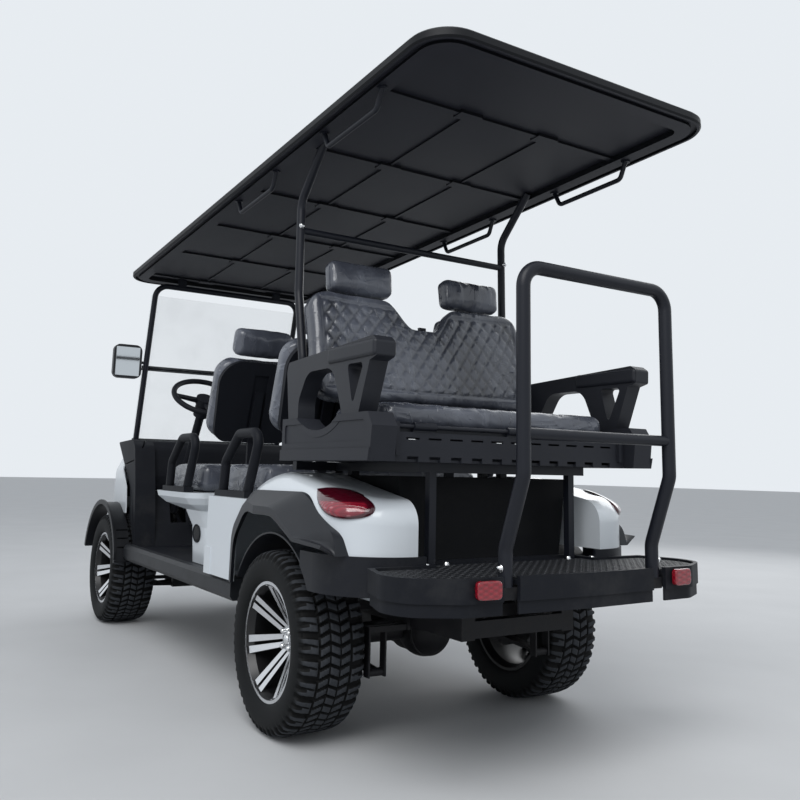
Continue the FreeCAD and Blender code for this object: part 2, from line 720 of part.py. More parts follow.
def rear_axle():
    z = "Sizes.axle_height"
    half = KINGPIN_Y + " + 10"
    parts = [
        cylinder("AxleTube", "35", "2 * (%s)" % half, ("0", "-(%s)" % half, z), Y_AXIS),
        cylinder("DiffCase", "88", "150", ("-75", "0", z), X_AXIS),
        cylinder("MotorCase", "78", "270", ("190", "-130", z), Y_AXIS),
        box("GearCase", ("60", "-62", z + " - 60"), ("190", "62", z + " + 60")),
    ]
    cover = doc.addObject("Part::Sphere", "DiffCover")
    cover.Radius = 96
    cover.setExpression("Placement.Base.x", "-28")
    cover.setExpression("Placement.Base.z", z)
    parts.append(cover)
    stub = "Sizes.track / 2 + Sizes.rim_width / 2 - Sizes.hub_inset - 4"
    drum_out = "Sizes.track / 2 + Sizes.rim_width / 2 - Sizes.hub_inset - Sizes.hub_depth - Sizes.play"
    for name, sign in (("Left", ""), ("Right", "-")):
        axis = Y_AXIS if name == "Left" else -Y_AXIS
        drum_in = "%s(%s + 5)" % (sign, KINGPIN_Y)
        length = "%s - %s - 5" % (drum_out, KINGPIN_Y)
        parts.append(cylinder("Drum" + name, "95", length, ("0", drum_in, z), axis))
        parts.append(cylinder("Stub" + name, "Sizes.stub_radius", stub, ("0", "0", z), axis))
    node(joined("RearAxle", "Part::MultiFuse", parts), "rear_axle")


rear_axle()


def rear_spring():
    """Leaf pack under the axle tube with its clamps, front hanger and rear shackle."""
    y0, y1 = 322, 367
    seat = v.axle_height - 35
    leaves = []
    for reach, top in ((262, seat), (190, seat - 8), (110, seat - 16)):
        drop = 30 * (reach / 262) ** 2
        curve = [(-reach, top - drop), (0, top), (reach, top - drop), (reach, top - drop - 8), (0, top - 8),
                 (-reach, top - drop - 8)]
        leaves.append(prism(side(curve, y0), 0, Vector(0, y1 - y0, 0)))
    for x in (-262, 262):
        leaves.append(Part.makeCylinder(13, y1 - y0 + 12, Vector(x, y0 - 6, seat - 34), Y_AXIS))
    leaves.append(block(-55, 55, y0, y1, v.axle_height + 35, v.axle_height + 43))
    leaves.append(block(-55, 55, y0, y1, seat - 34, seat - 24))
    for x in (-45, 45):
        for y in (y0 + 8, y1 - 8):
            leaves.append(Part.makeCylinder(6, 112, Vector(x, y, seat - 34)))
    rail = v.rail_y + v.rail_wide / 2
    low = v.rail_low - 10
    for x in (-262, 262):
        for y in (y0 - 10, y1 + 4):
            leaves.append(block(x - 16, x + 16, y, y + 6, seat - 48, low + 18))
        leaves.append(block(x - 16, x + 16, rail, y1 + 10, low, low + 18))
        leaves.append(block(x - 20, x + 20, rail, rail + 12, low, v.rail_low + 40))
    return pair(fused(leaves))


feature("rear_springs", rear_spring())


def arm(z, spread, inner):
    """Wishbone from the subframe out to the kingpin eye, its bore on the kingpin."""
    eye = Vector(v.wheelbase, PIN_Y, z)
    parts = [Part.makeCylinder(22, 22, eye - Vector(0, 0, 11))]
    for sign in (1, -1):
        foot = Vector(v.wheelbase + sign * spread, inner, z)
        parts.append(tube([foot, eye - Vector(-sign * 12, 14, 0)], 10, 0))
    bore = Part.makeCylinder(v.kingpin_radius + v.bearing_gap, 60, eye - Vector(0, 0, 30))
    return fused(parts).cut(bore)


def column_end():
    """Lower end of the steering column."""
    turn = math.radians(v.steer_tilt)
    run = 40 + v.play + v.column_run
    return Vector(STEER_X + math.sin(turn) * run, v.steer_y, v.steer_z - math.cos(turn) * run)


def pinion():
    """Direction of the steering shaft seen from the rack, and the top of the rack's pinion housing."""
    foot = Vector(v.wheelbase - v.steer_arm, v.pinion_y, v.axle_height - v.rack_drop)
    axis = (column_end() - foot).normalize()
    return axis, foot + axis * 46


def front_suspension():
    """Subframe with two wishbones and a spring strut on each side, and the rack housing."""
    rail = v.rail_y + v.rail_wide / 2
    x = v.wheelbase
    left = [arm(v.arm_low, 62, rail - 25), arm(v.arm_high, 75, rail - 4)]
    for side_of in (-1, 1):
        middle = x + side_of * 62
        left.append(block(middle - 18, middle + 18, rail - 50, rail, v.arm_low - 15, v.rail_low))
    foot = Vector(x, PIN_Y - 63, v.arm_low + 16)
    head = Vector(x, rail + 14, v.tower_top - 8)
    line = head - foot
    left.append(Part.makeCylinder(12, line.Length, foot, line))
    left.append(Part.makeCylinder(30, line.Length * 0.55, foot + line * 0.35, line))
    left.append(block(x - 40, x + 40, PIN_Y - 79, PIN_Y - 47, v.arm_low - 8, v.arm_low + 22))
    half = fused(left)
    floor = block(x - 80, x + 80, -(rail - 30), rail - 30, v.arm_low - 15, v.arm_low + 15)
    rack_x = x - v.steer_arm
    rack_z = v.axle_height - v.rack_drop
    housing = Part.makeCylinder(20, 240, Vector(rack_x, -120, rack_z), Y_AXIS)
    bracket = block(rack_x, x - 70, -110, 110, v.arm_low - 5, rack_z - 12)
    pinion_axis, pinion_top = pinion()
    pinion_foot = Vector(rack_x, v.pinion_y, rack_z)
    tower = Part.makeCylinder(17, (pinion_top - pinion_foot).Length, pinion_foot, pinion_axis)
    shape = fused([half, mirror_shape(half), floor, housing, bracket, tower])
    rail_space = block(x - 200, x + 200, rail - v.rail_wide, rail, v.rail_low, v.rail_low + v.rail_tall)
    bore = Part.makeCylinder(v.rack_radius + v.bearing_gap, 300, Vector(rack_x, -150, rack_z), Y_AXIS)
    cap = block(x - 60, x + 60, rail - 60, rail + 60, v.tower_top - 8, v.tower_top + 40)
    return shape.cut([rail_space, mirror_shape(rail_space), bore, cap, mirror_shape(cap)])


feature("front_suspension", front_suspension())


def knuckle(hand):
    """Kingpin post with its pins, wheel stub, brake drum and steering arm."""
    x, y = v.wheelbase, PIN_Y
    low = v.arm_low + 11 + v.play
    high = v.arm_high - 11 - v.play
    pin = v.kingpin_radius
    drum_out = v.track / 2 + v.rim_width / 2 - v.hub_inset - v.hub_depth - v.play
    stub_out = v.track / 2 + v.rim_width / 2 - v.hub_inset - 4
    parts = [
        Part.makeCylinder(20, high - low, Vector(x, y, low)),
        Part.makeCylinder(pin, high - low + 44, Vector(x, y, low - 22)),
        Part.makeCylinder(v.stub_radius, stub_out - y, Vector(x, y, v.axle_height), Y_AXIS),
        Part.makeCylinder(88, drum_out - y - 28, Vector(x, y + 28, v.axle_height), Y_AXIS),
        Part.makeCylinder(38, 30, Vector(x, y, v.axle_height), Y_AXIS),
    ]
    arm_z = v.arm_seat
    parts.append(block(x - v.steer_arm, x, y - 12, y + 12, arm_z, arm_z + 14))
    parts.append(Part.makeCylinder(16, 14, Vector(x - v.steer_arm, y, arm_z)))
    shape = fused(parts)
    return shape if hand == "left" else mirror_shape(shape)


for hand in SIDES:
    feature("knuckle_" + hand, knuckle(hand))


def tie_rods():
    """Rack bar with a ball end under each steering arm."""
    x = v.wheelbase - v.steer_arm
    z = v.axle_height - v.rack_drop
    parts = [Part.makeCylinder(v.rack_radius, 2 * PIN_Y, Vector(x, -PIN_Y, z), Y_AXIS)]
    pin = v.arm_seat - z - 0.3
    for sign in SIDES.values():
        parts.append(Part.makeCylinder(15, 18, Vector(x, sign * PIN_Y, z - 9)))
        parts.append(Part.makeCylinder(7, pin, Vector(x, sign * PIN_Y, z)))
    return fused(parts)


feature("tie_rods", tie_rods())


# Steering wheel and column share one sloping axis
TILT = math.radians(v.steer_tilt)
COLUMN_AXIS = Vector(math.sin(TILT), 0, -math.cos(TILT))
STEER_CENTRE = Vector(STEER_X, v.steer_y, v.steer_z)


def steering_wheel():
    """Ring with three spokes on a hub, turned on the column's axis."""
    ring = Part.makeTorus(v.steer_radius, v.ring_radius)
    hub_z = -40
    parts = [ring, Part.makeCylinder(46, 34, Vector(0, 0, hub_z))]
    for angle in (90, 180, 270):
        spoke = [(30, hub_z + 6), (v.steer_radius - 4, -6), (v.steer_radius - 4, 6), (30, hub_z + 26)]
        arm_shape = prism([Vector(r, -14, z) for r, z in spoke], 0, Vector(0, 28, 0))
        arm_shape.rotate(Vector(0, 0, 0), Z_AXIS, angle)
        parts.append(arm_shape)
    parts.append(Part.makeCylinder(11, 60, Vector(0, 0, hub_z - 60)))
    shape = fused(parts)
    shape.Placement = Placement(STEER_CENTRE, Rotation(Z_AXIS, -COLUMN_AXIS))
    return shape


feature("steering_wheel", steering_wheel())


def steering_column():
    """Column tube with its stalk, the bearing bore for the wheel's shaft, and the shaft down to the rack."""
    start = STEER_CENTRE + COLUMN_AXIS * (40 + v.play)
    parts = [
        Part.makeCylinder(v.column_radius, v.column_run, start, COLUMN_AXIS),
        Part.makeCylinder(40, 70, start, COLUMN_AXIS),
    ]
    stalk_foot = start + COLUMN_AXIS * 40
    stalk = tube([stalk_foot, stalk_foot + Vector(-5, 60, 4), stalk_foot + Vector(-12, 105, 22)], 8, 25)
    parts.append(stalk)
    bracket = [(-350, 782), (-316, 742), (-270, 742), (-254.4, 800), (-270, 836), (-300, 836)]
    parts.append(prism(nose_side(bracket, v.steer_y - 25), 0, Vector(0, 50, 0)))
    axis, top = pinion()
    low = column_end()
    shaft = low - top - axis * 0.3
    parts.append(Part.makeCylinder(9, shaft.Length, top + axis * 0.3, shaft))
    parts.append(Part.makeCylinder(16, 38, top + axis * 0.3, axis))
    parts.append(Part.makeSphere(v.column_radius, low))
    bore = Part.makeCylinder(11 + v.bearing_gap, 75, start - COLUMN_AXIS * 5, COLUMN_AXIS)
    return fused(parts).cut(bore)


feature("steering_column", steering_column())


# Floor and sills
def floor_pan():
    item = body("Floor", "floor_pan")
    low = "Sizes.floor_low"
    top = "Sizes.floor_low + Sizes.floor_wall"
    rear = "Sizes.deck_rear + 50"
    outline = [
        (rear, low),
        (TOE_X, low),
        (TOE_X + " + Sizes.toe_run", "Sizes.toe_top"),
        (TOE_X + " + Sizes.toe_run - 14", "Sizes.toe_top + 6"),
        (TOE_X + " - 8", top),
        (rear, top),
    ]
    pad(item, sketch(item, "FloorProfile", "XZ_Plane", outline), "2 * Sizes.floor_half")
    slot = [
        (TOE_X + " + 20", "Sizes.steer_y - 45"),
        (TOE_X + " + 200", "Sizes.steer_y - 45"),
        (TOE_X + " + 200", "Sizes.steer_y + 45"),
        (TOE_X + " + 20", "Sizes.steer_y + 45"),
    ]
    pocket(item, sketch(item, "ColumnSlot", "XY_Plane", slot, "640"), "180", "ColumnHole")


floor_pan()


def sills():
    item = body("Sill", "sill_left")
    nodes.pop()
    inner = "Sizes.floor_half"
    outer = "Sizes.floor_half + Sizes.sill_wide"
    low = "Sizes.sill_low"
    top = "Sizes.sill_low + Sizes.sill_tall"
    outline = [
        (inner, low),
        (outer + " - 12", low),
        (outer, low + " + 16"),
        (outer, top + " - 16"),
        (outer + " - 12", top),
        (inner, top),
    ]
    item.setExpression("Placement.Base.x", "0")
    run = sketch(item, "SillProfile", "YZ_Plane", outline, "(Sizes.sill_rear + %s) / 2" % SILL_FRONT)
    pad(item, run, SILL_FRONT + " - Sizes.sill_rear")
    both_sides("sill_panels", item)


sills()


def pedals():
    """Brake and accelerator pads on arms that stand on the toe board."""
    along = Vector(v.toe_run, 0, v.toe_top - v.floor_low).normalize()
    out = Vector(-along.z, 0, along.x)
    foot = Vector(v.wheelbase - v.toe_back - 8, 0, v.floor_low + v.floor_wall) + along * v.pedal_up
    shapes = []
    for y, wide, tall in ((v.steer_y - 80, 84, 62), (v.steer_y - 190, 56, 130)):
        at = foot + Vector(0, y, 0)
        arm_points = [at - along * 9 + out * 0.9, at + along * 9 + out * 0.9, at + along * 9 + out * 60,
                      at - along * 9 + out * 60]
        arm_shape = prism([p - Vector(0, 8, 0) for p in arm_points], 0, Vector(0, 16, 0))
        face = [at - along * tall / 2 + out * 58, at + along * tall / 2 + out * 58,
                at + along * tall / 2 + out * 68,
                at - along * tall / 2 + out * 72]
        pad_shape = prism([p - Vector(0, wide / 2, 0) for p in face], [0, 4, 4, 0], Vector(0, wide, 0))
        shapes.append(fused([arm_shape, pad_shape]))
    return Part.makeCompound(shapes)


feature("pedals", pedals())


# Rear body: one moulding, open underneath, with the wheel arches cut out
AXLE = Vector(0, 0, v.axle_height)
FLOOR_TOP = v.floor_low + v.floor_wall
SILL_TOP = v.sill_low + v.sill_tall
FENDER_FRONT = 300
CORNER = min(v.corner_radius, BODY_HALF - HUMP_INNER - v.panel_wall)
STEP_INNER = HUMP_INNER - 37


def round_crown(shape, radius, skip):
    """Rounds the upper outer edges; skip says which edges stay sharp."""
    rims = []
    for edge in shape.Edges:
        middle = edge.valueAt((edge.FirstParameter + edge.LastParameter) / 2)
        if not skip(middle):
            rims.append(edge)
    return shape.makeFillet(radius, rims)


def fender_form(grow):
    """Outer form of the left rear fender, grown all over or, when negative, shrunk."""
    low = SILL_TOP
    curve = v.fender_radius + grow
    turn = math.radians(v.fender_fall)
    rear = v.body_rear + grow
    half = BODY_HALF + grow
    inner = HUMP_INNER - grow
    start = Vector(FENDER_FRONT, 0, v.axle_height + math.sqrt(curve ** 2 - FENDER_FRONT ** 2))
    middle = AXLE + Vector(math.sin(turn), 0, math.cos(turn)) * curve
    finish = AXLE + Vector(-math.sin(turn), 0, math.cos(turn)) * curve
    drop = (rear + finish.x) * math.tan(turn)
    corner = Vector(-rear, 0, finish.z - drop)
    edges = [
        Part.Arc(start, middle, finish).toShape(),
        Part.LineSegment(finish, corner).toShape(),
        Part.LineSegment(corner, Vector(-rear, 0, low)).toShape(),
        Part.LineSegment(Vector(-rear, 0, low), Vector(FENDER_FRONT, 0, low)).toShape(),
        Part.LineSegment(Vector(FENDER_FRONT, 0, low), start).toShape(),
    ]
    flank = Part.Face(Part.Wire(edges)).extrude(Vector(0, half + 50, 0))
    outline = [(-rear, inner), (FENDER_FRONT + 50, inner), (FENDER_FRONT + 50, half), (-rear, half)]
    radius = CORNER + grow
    form = flank.common(prism(plan(outline, low - 1), [0, 0, 0, radius], Vector(0, 0, 600)))

    def skip(p):
        sharp = abs(p.y - inner) < 0.01 or abs(p.x - FENDER_FRONT) < 0.01
        return sharp or p.z < corner.z - 1 or (p.y < half - 0.01 and p.x > -rear + radius)

    return round_crown(form, v.crown_radius + grow, skip)


def arch_prism(points, radii, y0, y1):
    """Wheel opening in side view carried across the body side."""
    return prism(side(points, y0), radii, Vector(0, y1 - y0, 0))


# Rear wheel opening and its flare in side view: front foot, front shoulder, top, rear shoulder, tail
ARCH_ROUND = [0, 120, 150, 190, 60, 0]
FLARE_OUTER = [(352, SILL_TOP), (350, 640), (190, 778), (-235, 782), (-432, 665), (-452, v.skirt_top)]
FLARE_INNER = [(330, SILL_TOP), (325, 600), (180, 735), (-200, 745), (-400, 640), (-430, v.skirt_top)]
LIP_OUTER = [(332, SILL_TOP), (322, 600), (172, 728), (-92, 728), (-262, 645), (-448, 636)]
LIP_INNER = [(312, SILL_TOP), (298, 590), (160, 700), (-85, 700), (-250, 632), (-440, 626)]
OPENING = [(340, SILL_TOP - 5), (336, 610), (185, 752), (-215, 760), (-412, 650), (-440, v.skirt_top - 5),
           (-440, SILL_TOP - 5)]


def rear_body():
    wall = v.panel_wall
    inner = fender_form(-wall)
    inner.translate(Vector(0, 0, -0.01))
    deck = block(v.deck_rear, v.body_front, -1, BODY_HALF, SILL_TOP, v.shoulder)
    kick = block(v.body_front - 60, v.body_front + 6, -1, BODY_HALF + 4, SILL_TOP, 545)
    hollow = block(v.deck_rear + wall, v.body_front - wall, -2, BODY_HALF - wall, SILL_TOP - 1,
                   v.shoulder - wall)
    shell = fender_form(0).fuse([deck, kick]).cut([inner, hollow])
    opening = arch_prism(OPENING, ARCH_ROUND + [0], HUMP_INNER + wall + 2, BODY_HALF + 60)
    low = block(-v.body_rear - 50, -v.liner_radius + 45, 0, BODY_HALF + 50, SILL_TOP - 5, v.skirt_top)
    shell = shell.cut([opening, low])
    shell = shell.common(block(-v.body_rear - 10, v.body_front + 20, 0, BODY_HALF + 60, SILL_TOP - 5, 900))
    return fused([shell, mirror_shape(shell)])


feature("rear_body", rear_body())


def banded(outer, inner, y):
    """Arch-shaped band between two outlines in one upright plane."""
    ring = corner_points(side(outer, y), ARCH_ROUND)
    hole = corner_points(side(inner, y), ARCH_ROUND)
    edges = []
    path = ring + list(reversed([(c, b, a) for a, b, c in hole]))
    for i, (start, middle, finish) in enumerate(path):
        if middle is not None:
            edges.append(Part.Arc(start, middle, finish).toShape())
        edges.append(Part.LineSegment(finish, path[(i + 1) % len(path)][0]).toShape())
    return Part.Wire(edges)


def rear_flares():
    """Flare standing out of the body side and, inside it, the wheel arch liner."""
    half = BODY_HALF
    base = Part.Face(banded(FLARE_OUTER, FLARE_INNER, half - 90)).extrude(Vector(0, 90, 0))
    rim_y = half + v.flare_reach
    skirt = Part.makeLoft([banded(FLARE_OUTER, FLARE_INNER, half), banded(LIP_OUTER, LIP_INNER, rim_y)],
                          True, True)
    flare = base.fuse(skirt)
    taper = [(380, half + 8), (380, half + 200), (60, half + 200), (60, rim_y + 1), (330, half + 14)]
    flare = flare.cut([prism(plan(taper, 300), 0, Vector(0, 0, 600)), fender_form(0)])
    flare = flare.cut(block(v.deck_rear, v.body_front + 20, 0, half, SILL_TOP - 10, v.shoulder))
    flare = max(flare.Solids, key=lambda piece: piece.Volume)
    y0 = HUMP_INNER + v.panel_wall
    out = Part.makeCylinder(v.liner_radius + 6, half - 2 - y0, Vector(0, y0, v.axle_height), Y_AXIS)
    core = Part.makeCylinder(v.liner_radius, half, Vector(0, y0 - 5, v.axle_height), Y_AXIS)
    reach = v.liner_radius + 10
    liner = out.cut(core).common(block(-reach, reach, y0, half, v.skirt_top - 140, v.axle_height + reach))
    liner = liner.cut(block(-reach, -v.liner_radius + 60, 0, half, 0, v.skirt_top + 1))
    liner = max(liner.Solids, key=lambda piece: piece.Volume)
    return pair(Part.makeCompound([flare, liner]))


feature("rear_flares", rear_flares())


def skirt_form(grow, low, high):
    """Plan of the rear body's corner, grown and carried upwards."""
    rear = v.body_rear + grow
    half = BODY_HALF + grow
    inner = STEP_INNER + 10
    outline = [(-rear, inner), (-230, inner), (-230, half), (-rear, half)]
    return prism(plan(outline, low), [0, 0, 0, CORNER + grow], Vector(0, 0, high - low))


def rear_skirt():
    """Black band below the rear body, round its corner and back to the footboard."""
    shell = skirt_form(6, v.skirt_low, v.skirt_top).cut(skirt_form(-6, v.skirt_low - 1, v.skirt_top + 1))
    tyre_space = Part.makeCylinder(v.liner_radius + 6.3, 400, Vector(0, 300, v.axle_height), Y_AXIS)
    shell = shell.cut(tyre_space)
    shell = shell.cut(block(-v.body_rear + 8, 0, 0, HUMP_INNER + v.panel_wall, 0, 900))
    shell = max(shell.Solids, key=lambda piece: piece.Volume)
    return pair(shell)


feature("rear_skirt", rear_skirt())


# Lamps follow the body's own surface
LAMP = [(0, 790), (40, 800), (120, 793), (205, 768), (238, 742), (225, 716), (150, 704), (78, 716), (35, 752)]


def lamp_prism(y_grow):
    """Tail lamp outline carried inwards, square to the rear corner."""
    start = Vector(-285, BODY_HALF, 0)
    along = Vector(-0.883, -0.469, 0)
    inward = Vector(0.469, -0.883, 0)
    points = [start + along * s + Vector(0, 0, z) - inward * 90 for s, z in LAMP]
    return prism(points, y_grow, inward * 180)


def reflector():
    """Red reflector on the footboard's rear face."""
    a = Vector(-v.step_rear, 412, 0)
    b = Vector(-v.step_rear - 6, 335, 0)
    outline = [a + Vector(24, 0, 0), b + Vector(24, 0, 0), b - Vector(8, 0, 0), a - Vector(8, 0, 0)]
    low = v.step_top - 53
    lens = prism([p + Vector(0, 0, low) for p in outline], 0, Vector(0, 0, 48))
    return lens.cut(footboard_form())


def step_outline(inset, z):
    """Left half of the footboard in plan, and its mirror image."""
    half = [
        (-432 - inset, STEP_INNER - inset),
        (-v.body_rear - 6 - inset, STEP_INNER - inset),
        (-v.body_rear - 6 - inset, 548 - inset),
        (-690, v.step_half + 2 - inset),
        (-785, v.step_half - 16 - inset),
        (-v.step_rear + 8 + inset, 440 - inset * 0.7),
        (-v.step_rear - 8 + inset, 0),
    ]
    return half


def footboard_form(inset=0, low=None, high=None):
    low = v.step_top - v.step_tall if low is None else low
    high = v.step_top if high is None else high
    half = step_outline(inset, low)
    radii = [0, 0, 15, 90, 110, 60, 0]
    points = half + [(x, -y) for x, y in reversed(half[:-1])]
    both = radii + list(reversed(radii[:-1]))
    return prism(plan(points, low), both, Vector(0, 0, high - low))


def footboard():
    """Moulded step with a raised rim, a recessed tread, a deep skirt and slots for the grab rail."""
    low = v.step_top - v.step_tall
    form = footboard_form(0, low + v.skirt_step).fuse(footboard_form(6, low, low + v.skirt_step))
    tread = v.step_top - v.tread_drop
    under = footboard_form(v.step_wall, v.step_top - v.step_tall - 1, tread - v.step_wall)
    over = footboard_form(v.step_wall + 3, tread, v.step_top + 1)
    shape = form.cut([under, over])
    open_front = block(-v.body_rear + 2, -400, -400, 400, 0, tread - v.step_wall)
    front = block(-v.body_rear - 6 - v.step_wall - 2, -400, -321, 321, 0, tread - v.step_wall)
    shape = shape.cut([open_front, front])
    return shape.cut(grab_slots(v.grab_radius + 7, 3)).removeSplitter()


def grab_slots(half, ahead):
    """Slots through the step's rear edge for the legs of the grab rail."""
    x0 = -v.step_rear - 20
    x1 = -v.grab_foot_x + v.grab_radius + ahead
    return [block(x0, x1, s * v.grab_y - half, s * v.grab_y + half, 400, 700) for s in SIDES.values()]


def tread_plate():
    """Flat plate on the footboard, behind the posts and inside the raised rim."""
    tread = v.step_top - v.tread_drop
    plate = footboard_form(v.step_wall + 9, tread, tread + v.plate_thick)
    front = block(-v.post_x - v.tube_square, 0, -700, 700, 0, 900)
    return plate.cut([front] + grab_slots(v.grab_radius + 13, 9)).removeSplitter()


feature("footboard", footboard())
feature("tread_plate", tread_plate())


def grab_bar():
    """Bent tube that stands on the step's foot bar, with a crossbar at seat height."""
    foot = v.step_top - v.tread_drop - v.step_wall - 40 + 32
    y = v.grab_y
    points = [
        Vector(-v.grab_foot_x, y, foot),
        Vector(-v.grab_foot_x, y, foot + 98),
        Vector(-v.rail_reach, y, foot + 300),
        Vector(-v.rail_reach, y, v.grab_top),
        Vector(-v.rail_reach, -y, v.grab_top),
        Vector(-v.rail_reach, -y, foot + 300),
        Vector(-v.grab_foot_x, -y, foot + 98),
        Vector(-v.grab_foot_x, -y, foot),
    ]
    rail = tube(points, v.grab_radius, 60)
    cross = Part.makeCylinder(16, 2 * y, Vector(-v.rail_reach, -y, v.grab_cross), Y_AXIS)
    return fused([rail, cross])


feature("grab_bar", grab_bar())


def rear_lamps():
    clear = lamp_prism(12)
    lens = clear.common(fender_form(5)).cut(fender_form(0))
    lens = max(lens.Solids, key=lambda piece: piece.Volume)
    return pair(Part.makeCompound([lens, reflector()]))


feature("rear_lamps", rear_lamps())


def bag_well():
    item = body("Well", "bag_well")
    top = "Sizes.hump_top - 6"
    front = "(Sizes.leg_x + Sizes.tube_square / 2 + Sizes.soft_gap)"
    middle = "-(Sizes.well_rear + %s) / 2" % front
    deep = "Sizes.well_rear - " + front
    wide = WELL_HALF
    narrow = WELL_HALF + " - 36"
    outline = [("-(%s)" % narrow, "Sizes.well_low"), (narrow, "Sizes.well_low"), (wide, top),
               ("-(%s)" % wide, top)]
    pad(item, sketch(item, "WellOutline", "YZ_Plane", outline, middle), deep)
    wall = "Sizes.panel_wall"
    narrow = "(%s - %s)" % (narrow, wall)
    wide = "(%s - %s)" % (wide, wall)
    floor = "Sizes.well_low + %s" % wall
    hole = [("-%s" % narrow, floor), (narrow, floor), (wide, top + " + 1"), ("-%s" % wide, top + " + 1")]
    pocket(item, sketch(item, "WellHollow", "YZ_Plane", hole, middle), deep + " - 2 * " + wall)


bag_well()

# Seat frame, roof struts and footboard posts: one welded frame
FRAME_TOP = v.tray_low


def line_z(z0, x0, z, degrees):
    """Place along x of a line that leans by an angle from (x0, z0)."""
    return x0 + (z - z0) * math.tan(math.radians(degrees))


ROOF_ORIGIN = Vector(-v.roof_rear, 0, v.roof_z)
ROOF_TURN = Rotation(Y_AXIS, v.roof_fall)


def in_roof(shape):
    """Moves a shape from the roof's own frame to its place."""
    copy = shape.copy()
    copy.Placement = Placement(ROOF_ORIGIN, ROOF_TURN).multiply(copy.Placement)
    return copy


def roof_space():
    """Everything above the roof's inner panel."""
    return in_roof(block(-200, 3500, -900, 900, v.panel_rise, 400))


def rear_frame():
    low = v.rail_low + v.rail_tall
    square = v.tube_square
    top = FRAME_TOP
    foot_x = v.leg_x
    parts = []
    for x in (-foot_x, foot_x):
        parts.append(block(x - square / 2, x + square / 2, LEG_Y - square / 2, LEG_Y + square / 2, low,
                           top - square))
    rear_x = -v.post_x
    y0 = LEG_Y - square / 2
    y1 = LEG_Y + square / 2
    parts.append(block(rear_x - square / 2, foot_x + square / 2, y0, y1, top - square, top))
    parts.append(block(foot_x - square / 2, foot_x + square / 2, 0, v.strut_y + 19, top - square, top))
    parts.append(block(rear_x - square / 2, rear_x + square / 2, 0, y1, top - square, top))
    tread = v.step_top - v.tread_drop
    parts.append(block(rear_x - 12.5, rear_x + 12.5, POST_Y - 12.5, POST_Y + 12.5, tread, top - square))
    strut = [(-46, v.strut_top), (132, 1850), (v.strut_x, 1500), (70, 1250), (foot_x, top)]
    parts.append(tube(side(strut, v.strut_y), v.strut_radius, 80))
    parts.append(Part.makeCylinder(13, v.strut_y, Vector(129.8, 0, v.cross_z), Y_AXIS))
    back = line_z(v.rest_low, v.rest_back, 1420, v.rest_lean) + 0.4
    low_back = line_z(v.rest_low, v.rest_back, 1250, v.rest_lean) + 0.4
    rest = [(low_back, top), (75, top), (75, 1250), (back + 14, 1420), (back, 1420), (low_back, 1250)]
    parts.append(prism(side(rest, 35), 0, Vector(0, 30, 0)))
    half = fused(parts)
    return fused([half, mirror_shape(half)]).cut(roof_space())


feature("rear_frame", rear_frame())


# Rear seat: tray with side modules, hinged cushion, backrest
def rear_seat_tray():
    wall = 8
    low = FRAME_TOP
    x0 = -v.tray_rear
    tray = block(x0, v.tray_front, -v.tray_half, v.tray_half, low, v.tray_top)
    inside = block(x0 + wall, v.tray_front - wall, wall - v.tray_half, v.tray_half - wall, low + wall,
                   v.tray_top + 1)
    gaps = []
    for i in range(-5, 6):
        y = i * 80
        gaps.append(block(x0 - 1, x0 + wall + 1, y - 20, y + 20, low - 1, low + 16))
        gaps.append(block(x0 - 1, x0 + wall + 1, y - 24, y + 24, v.tray_top - 22, v.tray_top - 16))
    parts = [tray.cut([inside] + gaps)]
    for sign in SIDES.values():
        module = [(-v.side_rear + 12, low), (v.tray_front, low), (v.tray_front, v.side_top),
                  (-v.side_rear + 26, v.side_top), (-v.side_rear, v.side_top - 40)]
        y = v.tray_half if sign > 0 else -v.tray_half - v.side_wide
        piece = prism(side(module, y), 0, Vector(0, v.side_wide, 0))
        dip = Part.makeCylinder(v.dip_radius, v.side_wide + 2,
                                Vector(-245, y - 1, v.side_top + v.dip_radius - 45), Y_AXIS)
        outer = sign * (v.tray_half + v.side_wide)
        border = [(-v.side_rear + 40, low + 56), (v.tray_front - 22, low + 56),
                  (v.tray_front - 22, v.side_top - 22),
                  (-v.side_rear + 48, v.side_top - 22), (-v.side_rear + 28, v.side_top - 50)]
        recess = prism(side(border, outer - 4), [8, 8, 8, 20, 12], Vector(0, 8, 0))
        shade = Part.makeCylinder(v.dip_radius + 22, v.side_wide + 40,
                                  dip.BoundBox.Center - Vector(0, v.side_wide, 0), Y_AXIS)
        band = [(-v.side_rear + 12, low), (v.tray_front, low), (v.tray_front, low + 36),
                (-v.side_rear + 4, low + 36)]
        piece = piece.fuse(prism(side(band, min(outer, outer + sign * 6)), 0, Vector(0, 6, 0)))
        piece = piece.cut([dip, recess.cut(shade)])
        hollow_y = y + 8
        hollow = [(-v.side_rear + 30, low - 1), (v.tray_front - 10, low - 1),
                  (v.tray_front - 10, v.side_top - 60),
                  (-v.side_rear + 30, v.side_top - 60)]
        piece = piece.cut(prism(side(hollow, hollow_y), 0, Vector(0, v.side_wide - 16, 0)))
        parts.append(piece)
        lug_y = sign * 455
        lug = block(x0 - 12, x0 + 20, min(lug_y, lug_y + sign * 12), max(lug_y, lug_y + sign * 12),
                    low + 20, v.hinge_z + 12)
        parts.append(lug)
    rod = Part.makeCylinder(v.pin_radius, 930, Vector(v.hinge_x, -465, v.hinge_z), Y_AXIS)
    parts.append(rod)
    return fused(parts)


feature("rear_seat_tray", rear_seat_tray())


